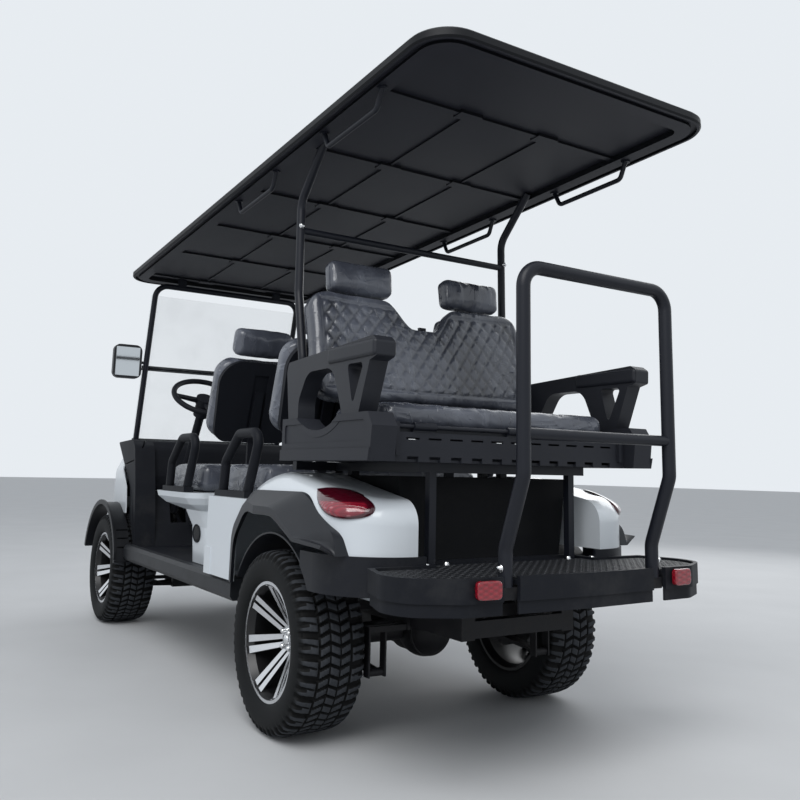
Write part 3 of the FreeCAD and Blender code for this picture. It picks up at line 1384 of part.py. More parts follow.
def rear_cushion_pan():
    """Seat pan with three hinge sleeves that turn on the tray's rod."""
    low = v.tray_top + 0.3
    front = v.rear_cushion_deep - v.rear_cushion_rear + 10
    half = v.tray_half - 4
    pan = block(v.hinge_x + 9, front, -half, half, low, low + v.pan_thick)
    sleeves = [pan]
    for y in (-400, -40, 320):
        sleeves.append(Part.makeCylinder(v.pin_radius + 6, 80, Vector(v.hinge_x, y, v.hinge_z), Y_AXIS))
        sleeves.append(block(v.hinge_x, v.hinge_x + 30, y, y + 80, low, v.hinge_z + 4))
    shape = fused(sleeves)
    lug_space = [block(v.hinge_x - 20, v.hinge_x + 30, s * 461 - 10, s * 461 + 10, low - 5, v.hinge_z + 30)
                 for s in (1, -1)]
    bore = Part.makeCylinder(v.pin_radius + v.bearing_gap, 1000, Vector(v.hinge_x, -500, v.hinge_z), Y_AXIS)
    return shape.cut(lug_space + [bore])


feature("rear_cushion_pan", rear_cushion_pan())


def cushion(x0, x1, half, z0, z1, edge):
    """Padded slab with rounded edges."""
    slab = block(x0, x1, -half, half, z0, z1)
    return slab.makeFillet(edge, slab.Edges)


def rear_cushion():
    low = v.tray_top + 0.3 + v.pan_thick + v.soft_gap
    x0 = -v.rear_cushion_rear
    return cushion(x0, x0 + v.rear_cushion_deep, v.rear_cushion_half, low, low + v.rear_cushion_tall, 24)


feature("rear_cushion", rear_cushion())


def rear_backrest():
    """Two rounded lobes with a valley between them, raked towards the front."""
    half = v.rest_half
    tall = v.rest_tall
    outline = [(-half + 60, 0), (half - 60, 0), (half, 110), (half, tall - 90), (half - 90, tall),
               (150, tall), (60, tall - 95),
               (-60, tall - 95), (-150, tall), (90 - half, tall), (-half, tall - 90), (-half, 110)]
    radii = [60, 60, 90, 90, 70, 60, 60, 60, 60, 70, 90, 90]
    slab = prism([Vector(0, y, z) for y, z in outline], radii, Vector(v.rest_thick, 0, 0))
    slab = slab.makeFillet(18, [e for e in slab.Edges if abs(e.BoundBox.XLength) < 1e-6])
    foot = Vector(v.rest_back - v.rest_thick / math.cos(math.radians(v.rest_lean)), 0, v.rest_low)
    slab.Placement = Placement(foot, Rotation(Y_AXIS, v.rest_lean))
    return slab


feature("rear_backrest", rear_backrest())


def headrest(low_centre, lean):
    """Padded block with rounded edges."""
    slab = block(-v.head_thick / 2, v.head_thick / 2, -v.head_half, v.head_half, 0, v.head_tall)
    slab = slab.makeFillet(26, slab.Edges)
    slab.Placement = Placement(low_centre, Rotation(Y_AXIS, lean))
    return slab


def rear_headrests():
    turn = math.radians(v.rest_lean)
    low = v.rest_low + v.rest_tall * math.cos(turn) - v.rest_thick * math.sin(turn) * 0.45 - 2
    x = line_z(v.rest_low, v.rest_back - v.rest_thick * 0.55, low, v.rest_lean)
    return pair(headrest(Vector(x, 258, low), 8).cut(rear_backrest()))


feature("rear_headrests", rear_headrests())

ARM_OUTER = [(-14, 0), (12, 165), (0, 196), (-575, 222), (-600, 205), (-598, 160), (-560, 150), (-500, 0)]
ARM_ARCH = [(-88, 0), (-88, 60), (-150, 150), (-330, 150), (-398, 0)]
ARM_VEE = [(-425, 150), (-525, 148), (-462, 22)]


def armrests():
    """Armrest with an arched window, twin rear legs and a thick pad over its rear half."""
    base = v.side_top
    y = v.tray_half + 12
    width = v.side_wide - 22
    outline = [Vector(x, y, base + z) for x, z in ARM_OUTER]
    shape = prism(outline, [0, 30, 14, 12, 12, 8, 0, 0], Vector(0, width, 0))
    arch = [Vector(x, y - 1, base + z) for x, z in ARM_ARCH[:1] + ARM_ARCH[1:]]
    arch[0].z -= 1
    arch[-1].z -= 1
    shape = shape.cut(prism(arch, [0, 60, 70, 70, 0], Vector(0, width + 2, 0)))
    vee = [Vector(x, y - 1, base + z) for x, z in ARM_VEE]
    shape = shape.cut(prism(vee, [12, 12, 8], Vector(0, width + 2, 0)))
    pad_block = block(-598, -300, y - 8, y + width + 8, base + 160, base + 212)
    shape = shape.fuse(pad_block.makeFillet(12, pad_block.Edges))
    return pair(shape.removeSplitter())


feature("armrests", armrests())


# Forward rows: everything that repeats is drawn for the second row and moved by the row pitch
ROWS = {"second": 0, "first": 1}


def for_rows(make):
    """The same shape on both rows."""
    shapes = []
    for step in ROWS.values():
        shape = make()
        shape.translate(Vector(step * v.row_pitch, 0, 0))
        shapes.append(shape)
    return Part.makeCompound(shapes)


def bench_cushion():
    low = v.shoulder + v.soft_gap
    x0 = v.cushion_rear
    return cushion(x0, x0 + v.cushion_deep, v.cushion_half, low, low + v.cushion_tall, 32)


feature("bench_cushions", for_rows(bench_cushion))


def leaning(shape):
    """Puts a seat back part on its raked line; its own x = 0 is the face between pad and shell."""
    shape.Placement = Placement(Vector(v.back_x, v.back_y, v.back_low), Rotation(Y_AXIS, -v.back_lean))
    return shape


BACK_ROUND = [60, 60, 110, 110]


def back_outline(inset):
    half = v.back_half - inset
    return [(-half + 20, inset), (half - 20, inset), (half, v.back_tall - inset),
            (-half, v.back_tall - inset)]


def seat_back():
    slab = prism([Vector(0.4, y, z) for y, z in back_outline(0)], BACK_ROUND, Vector(v.back_thick, 0, 0))
    slab = slab.makeFillet(20, [e for e in slab.Edges
                                if abs(e.BoundBox.XLength) < 1e-6 and e.BoundBox.XMin > 5])
    return pair(leaning(slab))


feature("forward_backrests", for_rows(seat_back))


def seat_headrest():
    slab = block(-12, v.head_thick - 12, -v.head_half, v.head_half, v.back_tall + 0.4,
                 v.back_tall + 0.4 + v.head_tall)
    slab = slab.makeFillet(26, slab.Edges)
    return pair(leaning(slab))


feature("forward_headrests", for_rows(seat_headrest))


def back_shell():
    """Black moulded shell behind a seat back with a channel down its middle, and its bracket."""
    shell = prism([Vector(-v.shell_thick, y, z) for y, z in back_outline(12)], BACK_ROUND,
                  Vector(v.shell_thick, 0, 0))
    channel = block(-v.shell_thick - 1, -v.shell_thick + 8, -34, 34, 60, v.back_tall - 70)
    shell = leaning(shell.cut(channel))
    lean = v.back_lean
    face = v.back_x - v.shell_thick / math.cos(math.radians(lean))
    high = v.back_low + 230
    upper = line_z(v.back_low, face, high, -lean)
    bracket = [(face - 14, v.shoulder), (face + 4, v.shoulder), (face + 4, v.back_low + 20),
               (upper + 12, high), (upper - 6, high),
               (face - 14, v.back_low)]
    arm_shape = prism(side(bracket, v.back_y - 20), 0, Vector(0, 40, 0))
    pad_space = leaning(block(0, 300, -300, 300, -100, 500))
    return pair(fused([shell, arm_shape.cut(pad_space)]))


feature("back_shells", for_rows(back_shell))


def hip_restraint():
    """Padded loop on a base block beside the cushion."""
    x = v.cushion_rear
    low = v.shoulder + 20
    path = [(x + 300, low), (x + 282, v.hip_top - 105), (x + 145, v.hip_top), (x - 62, v.hip_top),
            (x + 45, low)]
    loop = tube(side(path, v.hip_y), v.hip_radius, 40)
    base = block(x + 22, x + 338, v.hip_y - 22, v.hip_y + 22, v.shoulder, v.shoulder + 24)
    return pair(fused([loop.cut(block(0, 900, 0, 900, 0, v.shoulder)), base]))


feature("hip_restraints", for_rows(hip_restraint))


def pod_form(inset, low):
    """Foot, neck and shelf of the front seat pod."""
    sections = [
        # rear, front, half width, height, corner radius
        (v.pod_rear, v.pod_front, v.pod_half, low, 50),
        (v.pod_rear, v.pod_front + 16, v.pod_half + 6, v.pod_neck - 50 + inset, 55),
        (v.pod_rear - 8, v.pod_front + 64, v.pod_half + 30, v.pod_neck + 22 + inset, 70),
        (v.pod_rear - 18, v.shelf_front - 70, v.shelf_half - 6, v.shoulder - 52 + inset, 80),
        (v.pod_rear - 25, v.shelf_front - 6, v.shelf_half + 15, v.shoulder - 24 + inset, 80),
        (v.pod_rear - 25, v.shelf_front, v.shelf_half + 20, v.shoulder - inset, 80),
    ]
    wires = []
    for x0, x1, half, z, corner in sections:
        rear, front, half = x0 + inset, x1 - inset, half - inset
        wires.append(rounded_wire(plan([(rear, -half), (front, -half), (front, half), (rear, half)], z),
                                  corner - inset))
    return loft(wires)


def front_seat_pod():
    shell = pod_form(0, FLOOR_TOP).cut(pod_form(v.panel_wall, FLOOR_TOP - 1))
    return shell


feature("front_seat_pod", front_seat_pod())


# Front end
COWL = [
    # x from the front axle, half width, shoulder height, half width of the top, height of the top
    (-260, 560, 850, 470, 1010),
    (90, 545, 830, 470, 985),
    (300, 500, 745, 430, 862),
    (v.nose_ahead, 400, 665, 330, 738),
]


def cowl_form(inset, low):
    wires = []
    for x, half, shoulder, narrow, top in COWL:
        if x == v.nose_ahead:
            x = x - inset
        w = half - inset
        n = narrow - inset
        high = top - inset
        outline = [(-w, low), (w, low), (w, shoulder), (n, high), (-n, high), (-w, shoulder)]
        wires.append(rounded_wire(end(outline, v.wheelbase + x), [0, 0, 60, 40, 40, 60]))
    return loft(wires)


ARCH_X = v.wheelbase - v.arch_back


def arch_tube(radius):
    """Front posts and their top bar: one bent tube standing on the cowl hoop."""
    foot = v.hoop_top
    top = v.arch_top
    slope = math.tan(math.radians(v.rake))
    low_x = ARCH_X + (top - foot) * slope
    points = [
        Vector(low_x, v.arch_y, foot),
        Vector(ARCH_X, v.arch_y, top),
        Vector(ARCH_X, -v.arch_y, top),
        Vector(low_x, -v.arch_y, foot),
    ]
    return tube(points, radius, 70)


def post_x(z):
    return ARCH_X + (v.arch_top - z) * math.tan(math.radians(v.rake))


def front_arch():
    shape = arch_tube(v.strut_radius)
    for y in (-300, 300):
        shape = shape.fuse(block(ARCH_X - 15, ARCH_X + 15, y - 22, y + 22, v.arch_top, v.arch_top + 100))
    below = block(v.wheelbase, v.wheelbase + 300, -v.cowl_half, v.cowl_half, v.cowl_low, v.hoop_top)
    return shape.cut([roof_space(), below]).removeSplitter()


feature("front_arch", front_arch())

NOSE_LAMP = [(215, 652), (372, 668), (372, 690), (350, 706), (225, 712)]


def nose_lamp():
    outline = [Vector(v.wheelbase + v.nose_ahead - 40, y, z) for y, z in NOSE_LAMP]
    return prism(outline, 10, Vector(44, 0, 0))


def front_cowl():
    shell = cowl_form(0, v.cowl_low).cut(cowl_form(v.panel_wall, v.cowl_low - 1))
    behind = [(-400, 500), (-238, 500), (-225, 640), (-200, 740), (98, 988), (98, 1100), (-400, 1100)]
    shell = shell.cut(prism(nose_side(behind, -700), 0, Vector(0, 1400, 0)))
    shell = shell.cut([nose_lamp(), mirror_shape(nose_lamp()), arch_tube(v.strut_radius + 0.5)])
    return max(shell.Solids, key=lambda piece: piece.Volume)


feature("front_cowl", front_cowl())
feature("headlamps", pair(nose_lamp()))


def dashboard():
    """Dash panel between two side cheeks that follow the cowl's rear edge down to the floor."""
    top = v.dash_top
    panel = [(-250, 724), (-238, 724), (-230, 800), (-214, 940), (-175, top - 22), (92, top - 36),
             (92, top - 16),
             (-195, top), (-238, 950), (-254, 800)]
    rounds = [0, 0, 0, 30, 30, 0, 0, 40, 40, 0]
    parts = [prism(nose_side(panel, -v.dash_half - 20), rounds, Vector(0, 2 * v.dash_half + 40, 0))]
    toe = v.toe_back
    cheek = [(-toe - 10, FLOOR_TOP), (25 - toe, FLOOR_TOP), (-244, 500), (-234, 640), (-206, 745),
             (92, 984), (80, top - 10),
             (-195, top), (-260, 960), (-315, 760), (-350, 600)]
    window = [(-240, 700), (-210, 760), (-10, 925), (-190, 950), (-248, 900), (-275, 760)]
    rounds = [0, 0, 20, 30, 30, 0, 0, 40, 60, 60, 40]
    plate = prism(nose_side(cheek, v.dash_half), rounds, Vector(0, 108, 0))
    plate = plate.cut(prism(nose_side(window, v.dash_half - 1), 20, Vector(0, 84, 0)))
    tyre_space = Part.makeCylinder(374, 400, Vector(v.wheelbase, 200, v.axle_height), Y_AXIS)
    plate = plate.cut(tyre_space.common(block(0, v.wheelbase + 1000, 0, v.floor_half, 0, 2000)))
    flange_space = block(v.wheelbase - 228, v.wheelbase, v.floor_half, 600, 300, 600)
    plate = plate.cut(flange_space)
    parts += [plate, mirror_shape(plate)]
    shape = fused(parts)
    column = Part.makeCylinder(v.column_radius + 0.4, 1200, STEER_CENTRE, COLUMN_AXIS)
    toe = [(-toe - 9, FLOOR_TOP - 1), (0.3 - toe, v.floor_low), (v.toe_run + 0.3 - toe, v.toe_top),
           (v.toe_run - 14 - toe, v.toe_top + 6.3), (v.toe_run - 14.3 - toe, v.toe_top + 6)]
    board = prism(nose_side(toe, -v.floor_half), 0, Vector(0, 2 * v.floor_half, 0))
    skin = cowl_form(0, v.cowl_low).cut(cowl_form(v.panel_wall + 0.3, v.cowl_low - 1))
    solid = shape.cut([column, board, skin, arch_tube(v.strut_radius + 0.5)])
    return max(solid.Solids, key=lambda piece: piece.Volume)


feature("dashboard", dashboard())


def front_fenders():
    """Black ring over the front wheel with a deep rear end that carries three louvres."""
    centre = Vector(v.wheelbase, v.floor_half - 10, v.axle_height)
    wide = v.floor_half + 95 - centre.y
    ring = Part.makeCylinder(359, wide, centre, Y_AXIS).cut(Part.makeCylinder(347, wide, centre, Y_AXIS))
    side_lip = Part.makeCylinder(372, 10, centre + Vector(0, wide - 10, 0), Y_AXIS)
    side_lip = side_lip.cut(Part.makeCylinder(347, 10, centre + Vector(0, wide - 10, 0), Y_AXIS))
    shape = ring.fuse(side_lip)
    keep = [(0, 0), (360 * 2, 190), (720, 900), (-720, 900), (-720, 120)]
    sector = prism([centre + Vector(x, -5, z) for x, z in keep], 0, Vector(0, wide + 10, 0))
    shape = shape.common(sector)
    for angle in (158, 150, 142):
        turn = math.radians(angle)
        at_ring = centre + Vector(math.cos(turn), 0, math.sin(turn)) * 353
        slot = block(-16, 16, 22, wide - 22, -4, 4)
        slot.Placement = Placement(at_ring, Rotation(Y_AXIS, -angle))
        shape = shape.cut(slot)
    sill_space = block(0, v.wheelbase - v.sill_back + 0.3, 0, 700, v.sill_low - 0.3, SILL_TOP + 0.3)
    shape = shape.cut([cowl_form(0, v.cowl_low),
                       block(0, v.wheelbase + 700, 0, v.floor_half + 12.5, 0, v.cowl_low), sill_space])
    return pair(max(shape.Solids, key=lambda piece: piece.Volume))


feature("front_fenders", front_fenders())


def front_bumper():
    front = v.wheelbase + v.front_reach
    back = front - v.bumper_deep
    half = v.bumper_half
    plan_points = [(back, -half), (front - 55, -half), (front, -half + 110), (front, half - 110),
                   (front - 55, half), (back, half)]
    return prism(plan(plan_points, v.bumper_low), [0, 40, 60, 60, 40, 0],
                 Vector(0, 0, v.cowl_low - v.bumper_low))


feature("front_bumper", front_bumper())


def glass_pane(low, high, ahead, thick, half):
    """Flat pane on the front side of the raked posts."""
    turn = math.radians(v.rake)
    pane = Part.makeBox(thick, 2 * half, (high - low) / math.cos(turn), Vector(ahead, -half, 0))
    pane.Placement = Placement(Vector(post_x(low), 0, low), Rotation(Y_AXIS, -v.rake))
    return pane


def windshield():
    lower = glass_pane(v.glass_low, v.glass_split - 4, v.strut_radius, v.glass_thick, v.glass_half)
    upper = glass_pane(v.glass_split + 4, v.glass_top, v.strut_radius, v.glass_thick, v.glass_half)
    return Part.makeCompound([lower, upper])


def windshield_trim():
    """Hinge strip at the fold and the channel that the lower pane stands in."""
    ahead = v.strut_radius + v.glass_thick
    strip = glass_pane(v.glass_split - 14, v.glass_split + 14, ahead, 6, v.glass_half)
    channel = glass_pane(v.glass_low - 6, v.glass_low + 20, ahead, 9, v.glass_half)
    channel = channel.cut(cowl_form(0, v.cowl_low))
    return Part.makeCompound([strip, max(channel.Solids, key=lambda piece: piece.Volume)])


feature("windshield", windshield())
feature("windshield_trim", windshield_trim())


def mirrors():
    x = post_x(v.mirror_z)
    half = v.mirror_wide / 2
    tall = v.mirror_tall / 2
    outline = [(v.mirror_y - half, v.mirror_z - tall), (v.mirror_y + half, v.mirror_z - tall),
               (v.mirror_y + half, v.mirror_z + tall),
               (v.mirror_y - half, v.mirror_z + tall)]
    case = prism(end(outline, x - v.mirror_thick / 2), 36, Vector(v.mirror_thick, 0, 0))
    stay = Part.makeCylinder(8, v.mirror_y - v.arch_y, Vector(x, v.arch_y, v.mirror_z), Y_AXIS)
    shape = case.fuse(stay).cut(arch_tube(v.strut_radius))
    return pair(max(shape.Solids, key=lambda piece: piece.Volume))


feature("mirrors", mirrors())


# Roof
def roof_outline(inset, z):
    """Roof plan in its own frame: x runs forward from the rear edge."""
    length = (ROOF_FRONT + v.roof_rear) / math.cos(math.radians(v.roof_fall))
    half = v.roof_half - inset
    corner = max(v.roof_corner - inset, 40)
    points = plan([(inset, -half), (length - inset, -half), (length - inset, half), (inset, half)], z)
    return rounded_wire(points, corner)


def roof_shell():
    """Moulded roof: deep edge, gutter step and low crown above, recessed ribbed panel below."""
    lip = v.roof_lip
    levels = [(5, 0), (0, 6), (0, lip - 8), (8, lip), (70, lip + 6), (84, lip + v.roof_crown),
              (200, lip + v.roof_crown + 14)]
    top = loft([roof_outline(inset, z) for inset, z in levels])
    recess = Part.Face(roof_outline(v.roof_gutter, -1)).extrude(Vector(0, 0, v.panel_rise + 1))
    shape = top.cut(recess)
    half = v.roof_half - v.roof_gutter
    ribs = []
    length = ROOF_FRONT + v.roof_rear
    for i in range(1, int(length / v.rib_pitch) + 1):
        x = i * v.rib_pitch - 120
        if x < length - v.roof_gutter - 20:
            ribs.append(block(x, x + v.rib_wide, -half - 1, half + 1, v.panel_rise - v.rib_tall,
                              v.panel_rise + 1))
            for y in (-v.rib_line, v.rib_line):
                ribs.append(block(x - 12, x + v.rib_wide + 12, y - 45, y + 45,
                                  v.panel_rise - v.rib_tall - 3, v.panel_rise + 1))
    first, last = ribs[0].BoundBox.XMin, ribs[-1].BoundBox.XMax
    for y in (-v.rib_line, v.rib_line):
        ribs.append(block(first, last, y - 6, y + 6, v.panel_rise - 6, v.panel_rise + 1))
    gutter = Part.Face(roof_outline(v.edge_in, -1)).extrude(Vector(0, 0, 11))
    gutter = gutter.cut(Part.Face(roof_outline(v.edge_in + v.edge_wide, -2)).extrude(Vector(0, 0, 13)))
    return in_roof(shape.multiFuse(ribs).cut(gutter).removeSplitter())


def roof_handles():
    """Bent grab handles under the roof's edge, two on each side."""
    spans = [(v.roof_rear - 540, v.roof_rear - 150), (v.roof_rear + 260, v.roof_rear + 650)]
    shapes = []
    for x0, x1 in spans:
        y = v.handle_y + 16
        path = [(x0, 0), (x0 + 30, -v.handle_drop), (x1 - 30, -v.handle_drop), (x1, 0)]
        bar = tube(side(path, y), v.handle_radius, 24)
        feet = [Part.makeCylinder(17, 6, Vector(x, y, -6)) for x in (x0, x1)]
        shapes.append(fused([bar] + feet).cut(block(0, 3500, 0, 900, 0, 100)))
    return pair(in_roof(Part.makeCompound(shapes)))


ROOF = roof_shell()
feature("roof_shell", ROOF)
feature("roof_handles", roof_handles())

# Every object must be sound before anything is written
doc.recompute()
for item in doc.Objects:
    if "Invalid" in item.State or "Error" in item.State:
        raise RuntimeError("%s did not build: %s" % (item.Label, item.State))
for item in nodes:
    if item.Shape.isNull() or not item.Shape.isValid():
        raise RuntimeError("%s is not a sound shape" % item.Label)
os.makedirs("parts", exist_ok=True)
for item in nodes:
    item.Shape.exportStep("parts/%s.step" % item.Label)
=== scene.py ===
import json
import math

import bpy
import numpy as np
from mathutils import Matrix, Vector
from mathutils.bvhtree import BVHTree


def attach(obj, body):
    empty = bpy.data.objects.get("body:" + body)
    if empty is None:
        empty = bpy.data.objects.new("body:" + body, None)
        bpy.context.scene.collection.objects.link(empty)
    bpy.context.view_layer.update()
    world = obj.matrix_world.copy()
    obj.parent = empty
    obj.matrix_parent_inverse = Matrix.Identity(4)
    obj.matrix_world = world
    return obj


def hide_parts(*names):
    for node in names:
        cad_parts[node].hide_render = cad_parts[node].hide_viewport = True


# Looks of a six-seat golf cart: moulded black plastic, gloss white panels, quilted seats under
# clear film, machined rims and lugged tyres. Metres; x forward, y left, z up from the ground.

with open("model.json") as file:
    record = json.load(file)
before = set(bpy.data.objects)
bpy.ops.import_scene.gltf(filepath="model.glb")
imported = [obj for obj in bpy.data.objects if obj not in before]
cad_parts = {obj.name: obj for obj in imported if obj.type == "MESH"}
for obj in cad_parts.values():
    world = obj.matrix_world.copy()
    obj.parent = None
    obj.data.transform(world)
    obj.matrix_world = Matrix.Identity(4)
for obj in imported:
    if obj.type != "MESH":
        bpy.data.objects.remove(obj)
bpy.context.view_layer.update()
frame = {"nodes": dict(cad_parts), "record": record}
NODES = frame["nodes"]
BODY_OF = {node: body for body, names in frame["record"]["behaviour"]["bodies"].items() for node in names}

# Camera: place, then yaw, pitch and roll in degrees, focal length and optical centre in pixels
PICTURE, SENSOR = 800, 36
EYE = Vector((-3.5614, 1.7597, 0.8473))
YAW, PITCH, ROLL = -32.13, 8.872, -1.212
FOCAL, CENTRE_X, CENTRE_Y = 831.38, 401.47, 342.99


def aim_camera():
    """Camera whose columns are the right, up and backward directions of its view."""
    yaw, pitch, roll = (math.radians(a) for a in (YAW, PITCH, ROLL))
    ahead = Vector((math.cos(yaw) * math.cos(pitch), math.sin(yaw) * math.cos(pitch), math.sin(pitch)))
    level = Vector((math.sin(yaw), -math.cos(yaw), 0))
    plumb = ahead.cross(level)
    right = math.cos(roll) * level + math.sin(roll) * plumb
    down = math.cos(roll) * plumb - math.sin(roll) * level
    data = bpy.data.cameras.new("camera")
    data.sensor_width = SENSOR
    data.lens = FOCAL * SENSOR / PICTURE
    data.shift_x = (PICTURE / 2 - CENTRE_X) / PICTURE
    data.shift_y = (CENTRE_Y - PICTURE / 2) / PICTURE
    data.clip_end = 200
    camera = bpy.data.objects.new("camera", data)
    camera.matrix_world = Matrix.Translation(EYE) @ Matrix((right, -down, -ahead)).transposed().to_4x4()
    bpy.context.scene.collection.objects.link(camera)
    bpy.context.scene.camera = camera


aim_camera()


class Value:
    """A shader socket on which Python's operators add Math nodes."""

    def __init__(self, owner, socket):
        self.owner = owner
        self.socket = socket

    def math(self, operation, *others):
        return self.owner.node("Math", {"operation": operation}, (self,) + others)

    def __add__(self, other):
        return self.math("ADD", other)

    def __sub__(self, other):
        return self.math("SUBTRACT", other)

    def __mul__(self, other):
        return self.math("MULTIPLY", other)

    def __rsub__(self, other):
        return self.owner.node("Math", {"operation": "SUBTRACT"}, (other, self))

    def __neg__(self):
        return self * -1.0

    __radd__ = __add__
    __rmul__ = __mul__

    def least(self, other):
        return self.math("MINIMUM", other)

    def most(self, other):
        return self.math("MAXIMUM", other)

    def size(self):
        return self.math("ABSOLUTE")

    def step(self, low, high):
        """Smooth change from 0 at low to 1 at high, which may be the smaller of the two."""
        return self.owner.node("MapRange", {"interpolation_type": "SMOOTHSTEP"}, (self, low, high))


class Nodes:
    """Short ways to add nodes to a tree."""

    def __init__(self, tree):
        self.tree = tree

    def node(self, kind, settings, sockets, output=0):
        """Adds a node: first its settings, then the values or links of its sockets."""
        item = self.tree.nodes.new("ShaderNode" + kind)
        for name, value in settings.items():
            setattr(item, name, value)
        pairs = sockets.items() if isinstance(sockets, dict) else enumerate(sockets)
        for name, value in pairs:
            self.fill(item.inputs[name], value)
        return Value(self, item.outputs[output])

    def fill(self, socket, value):
        if isinstance(value, Value):
            self.tree.links.new(value.socket, socket)
        elif hasattr(value, "__len__") and len(value) == 3 and socket.type == "RGBA":
            socket.default_value = tuple(value) + (1.0,)
        else:
            socket.default_value = value


class Finish(Nodes):
    """A material: its node tree, its Principled shader and the patterns that the finishes share."""

    # Sockets of the Principled shader, by the short names that set() takes
    SOCKETS = {
        "colour": "Base Color", "rough": "Roughness", "metal": "Metallic", "coat": "Coat Weight",
        "coat_rough": "Coat Roughness", "normal": "Normal", "alpha": "Alpha",
        "specular": "Specular IOR Level",
    }

    def __init__(self, name):
        self.material = bpy.data.materials.new(name)
        self.material.use_nodes = True
        super().__init__(self.material.node_tree)
        self.shader = self.tree.nodes["Principled BSDF"]

    def place(self):
        """Object coordinates, which are the frame's metres at rest."""
        return self.node("TexCoord", {}, {}, "Object")

    def parts(self, vector):
        """A vector's three numbers."""
        x = self.node("SeparateXYZ", {}, (vector,))
        return [Value(self, socket) for socket in x.socket.node.outputs]

    def facing(self):
        """The three numbers of the surface's own direction."""
        return self.parts(self.node("TexCoord", {}, {}, "Normal"))

    def vector(self, x, y, z):
        return self.node("CombineXYZ", {}, (x, y, z))

    def scaled(self, vector, factors):
        return self.node("VectorMath", {"operation": "MULTIPLY"}, (vector, factors))

    def noise(self, vector, scale, detail=3.0, rough=0.5, twist=0.0):
        sockets = {"Vector": vector, "Scale": scale, "Detail": detail, "Roughness": rough,
                   "Distortion": twist}
        return self.node("TexNoise", {}, sockets)

    def ridges(self, vector, scale, detail):
        """Noise with sharp backs, as creases have."""
        settings = {"noise_type": "RIDGED_MULTIFRACTAL", "normalize": False}
        sockets = {"Vector": vector, "Scale": scale, "Detail": detail, "Roughness": 0.45,
                   "Lacunarity": 2.1, "Offset": 0.92, "Gain": 1.6, "Distortion": 0.35}
        return self.node("TexNoise", settings, sockets)

    def cells(self, vector, scale, feature="F1", scatter=1.0):
        sockets = {"Vector": vector, "Scale": scale, "Randomness": scatter}
        return self.node("TexVoronoi", {"feature": feature}, sockets)

    def attribute(self, name):
        return self.node("Attribute", {"attribute_name": name}, {}, "Fac")

    def mix(self, factor, first, second):
        """Colour between two others; the sockets are the node's colour ones."""
        return self.node("Mix", {"data_type": "RGBA"}, {0: factor, 6: first, 7: second}, 2)

    def bump(self, height, depth, strength=1.0, under=None):
        """Normal bent by a height from 0 to 1 that stands for a depth in metres."""
        sockets = {"Height": height, "Distance": depth, "Strength": strength}
        if under is not None:
            sockets["Normal"] = under
        return self.node("Bump", {}, sockets)

    def set(self, **looks):
        """Gives the shader's sockets their values or links, and returns the material."""
        for key, value in looks.items():
            self.fill(self.shader.inputs[self.SOCKETS[key]], value)
        return self.material


# Top of the step plate, and the mirror glasses' half width, half height and middle, in metres
PLATE_TOP = 0.573
GLASS = (0.068, 0.084, 0.560, 1.452)


def grained_plastic(name, colour, rough=0.55, grain=900.0, depth=0.00012, dusty=0.10, shine=0.16):
    """Moulded plastic: fine leather-like grain, soft mottling and a little dust that settles low."""
    f = Finish(name)
    p = f.place()
    z = f.parts(p)[2]
    mottle = f.noise(p, 3.0, 4.0, 0.6)
    grain_height = f.cells(p, grain, "SMOOTH_F1") + f.noise(p, grain * 0.6, 2.0) * 0.6
    dust = f.noise(p, 7.0, 5.0, 0.65).step(0.48, 0.75) * z.step(1.1, 0.3) * dusty
    base = f.mix(mottle.step(0.3, 0.7) * 0.5, colour, [c * 1.35 for c in colour])
    return f.set(
        colour=f.mix(dust, base, (0.16, 0.158, 0.15)),
        rough=mottle * 0.18 + (rough - 0.09) + dust * 0.3,
        specular=shine,
        normal=f.bump(grain_height, depth),
    )


def gloss_panel(name, colour):
    """Painted plastic panel: even gloss with a clear coat, faint long waves and road dust near the ground."""
    f = Finish(name)
    p = f.place()
    z = f.parts(p)[2]
    dust = f.noise(p, 5.0, 5.0, 0.6).step(0.45, 0.85) * z.step(0.62, 0.44) * 0.16
    peel = f.noise(p, 700.0, 1.0)
    return f.set(
        colour=f.mix(dust, colour, (0.42, 0.41, 0.38)),
        rough=0.30 + dust * 0.4 + f.noise(p, 3.0, 2.0) * 0.05,
        coat=0.6 - dust,
        coat_rough=0.05,
        normal=f.bump(peel, 0.00002),
    )


def powder_coat(name, colour):
    """Satin paint on tube: orange-peel bump and slight rubbing marks."""
    f = Finish(name)
    p = f.place()
    peel = f.noise(p, 420.0, 2.0)
    rub = f.noise(f.scaled(p, (1.0, 1.0, 0.3)), 26.0, 5.0, 0.7).step(0.62, 0.8)
    return f.set(
        colour=f.mix(rub * 0.25, colour, [c * 2.2 for c in colour]),
        rough=0.34 + rub * 0.14 + f.noise(p, 6.0) * 0.08,
        normal=f.bump(peel, 0.00015),
        specular=0.28,
    )


def chassis_paint(name):
    """Black steel underneath, dulled by road dust."""
    f = Finish(name)
    p = f.place()
    dust = f.noise(p, 11.0, 6.0, 0.7).step(0.4, 0.8)
    return f.set(
        colour=f.mix(dust * 0.4, (0.008, 0.008, 0.010), (0.06, 0.058, 0.054)),
        rough=0.5 + dust * 0.3,
        specular=0.25,
        normal=f.bump(f.noise(p, 180.0, 3.0), 0.0004),
    )


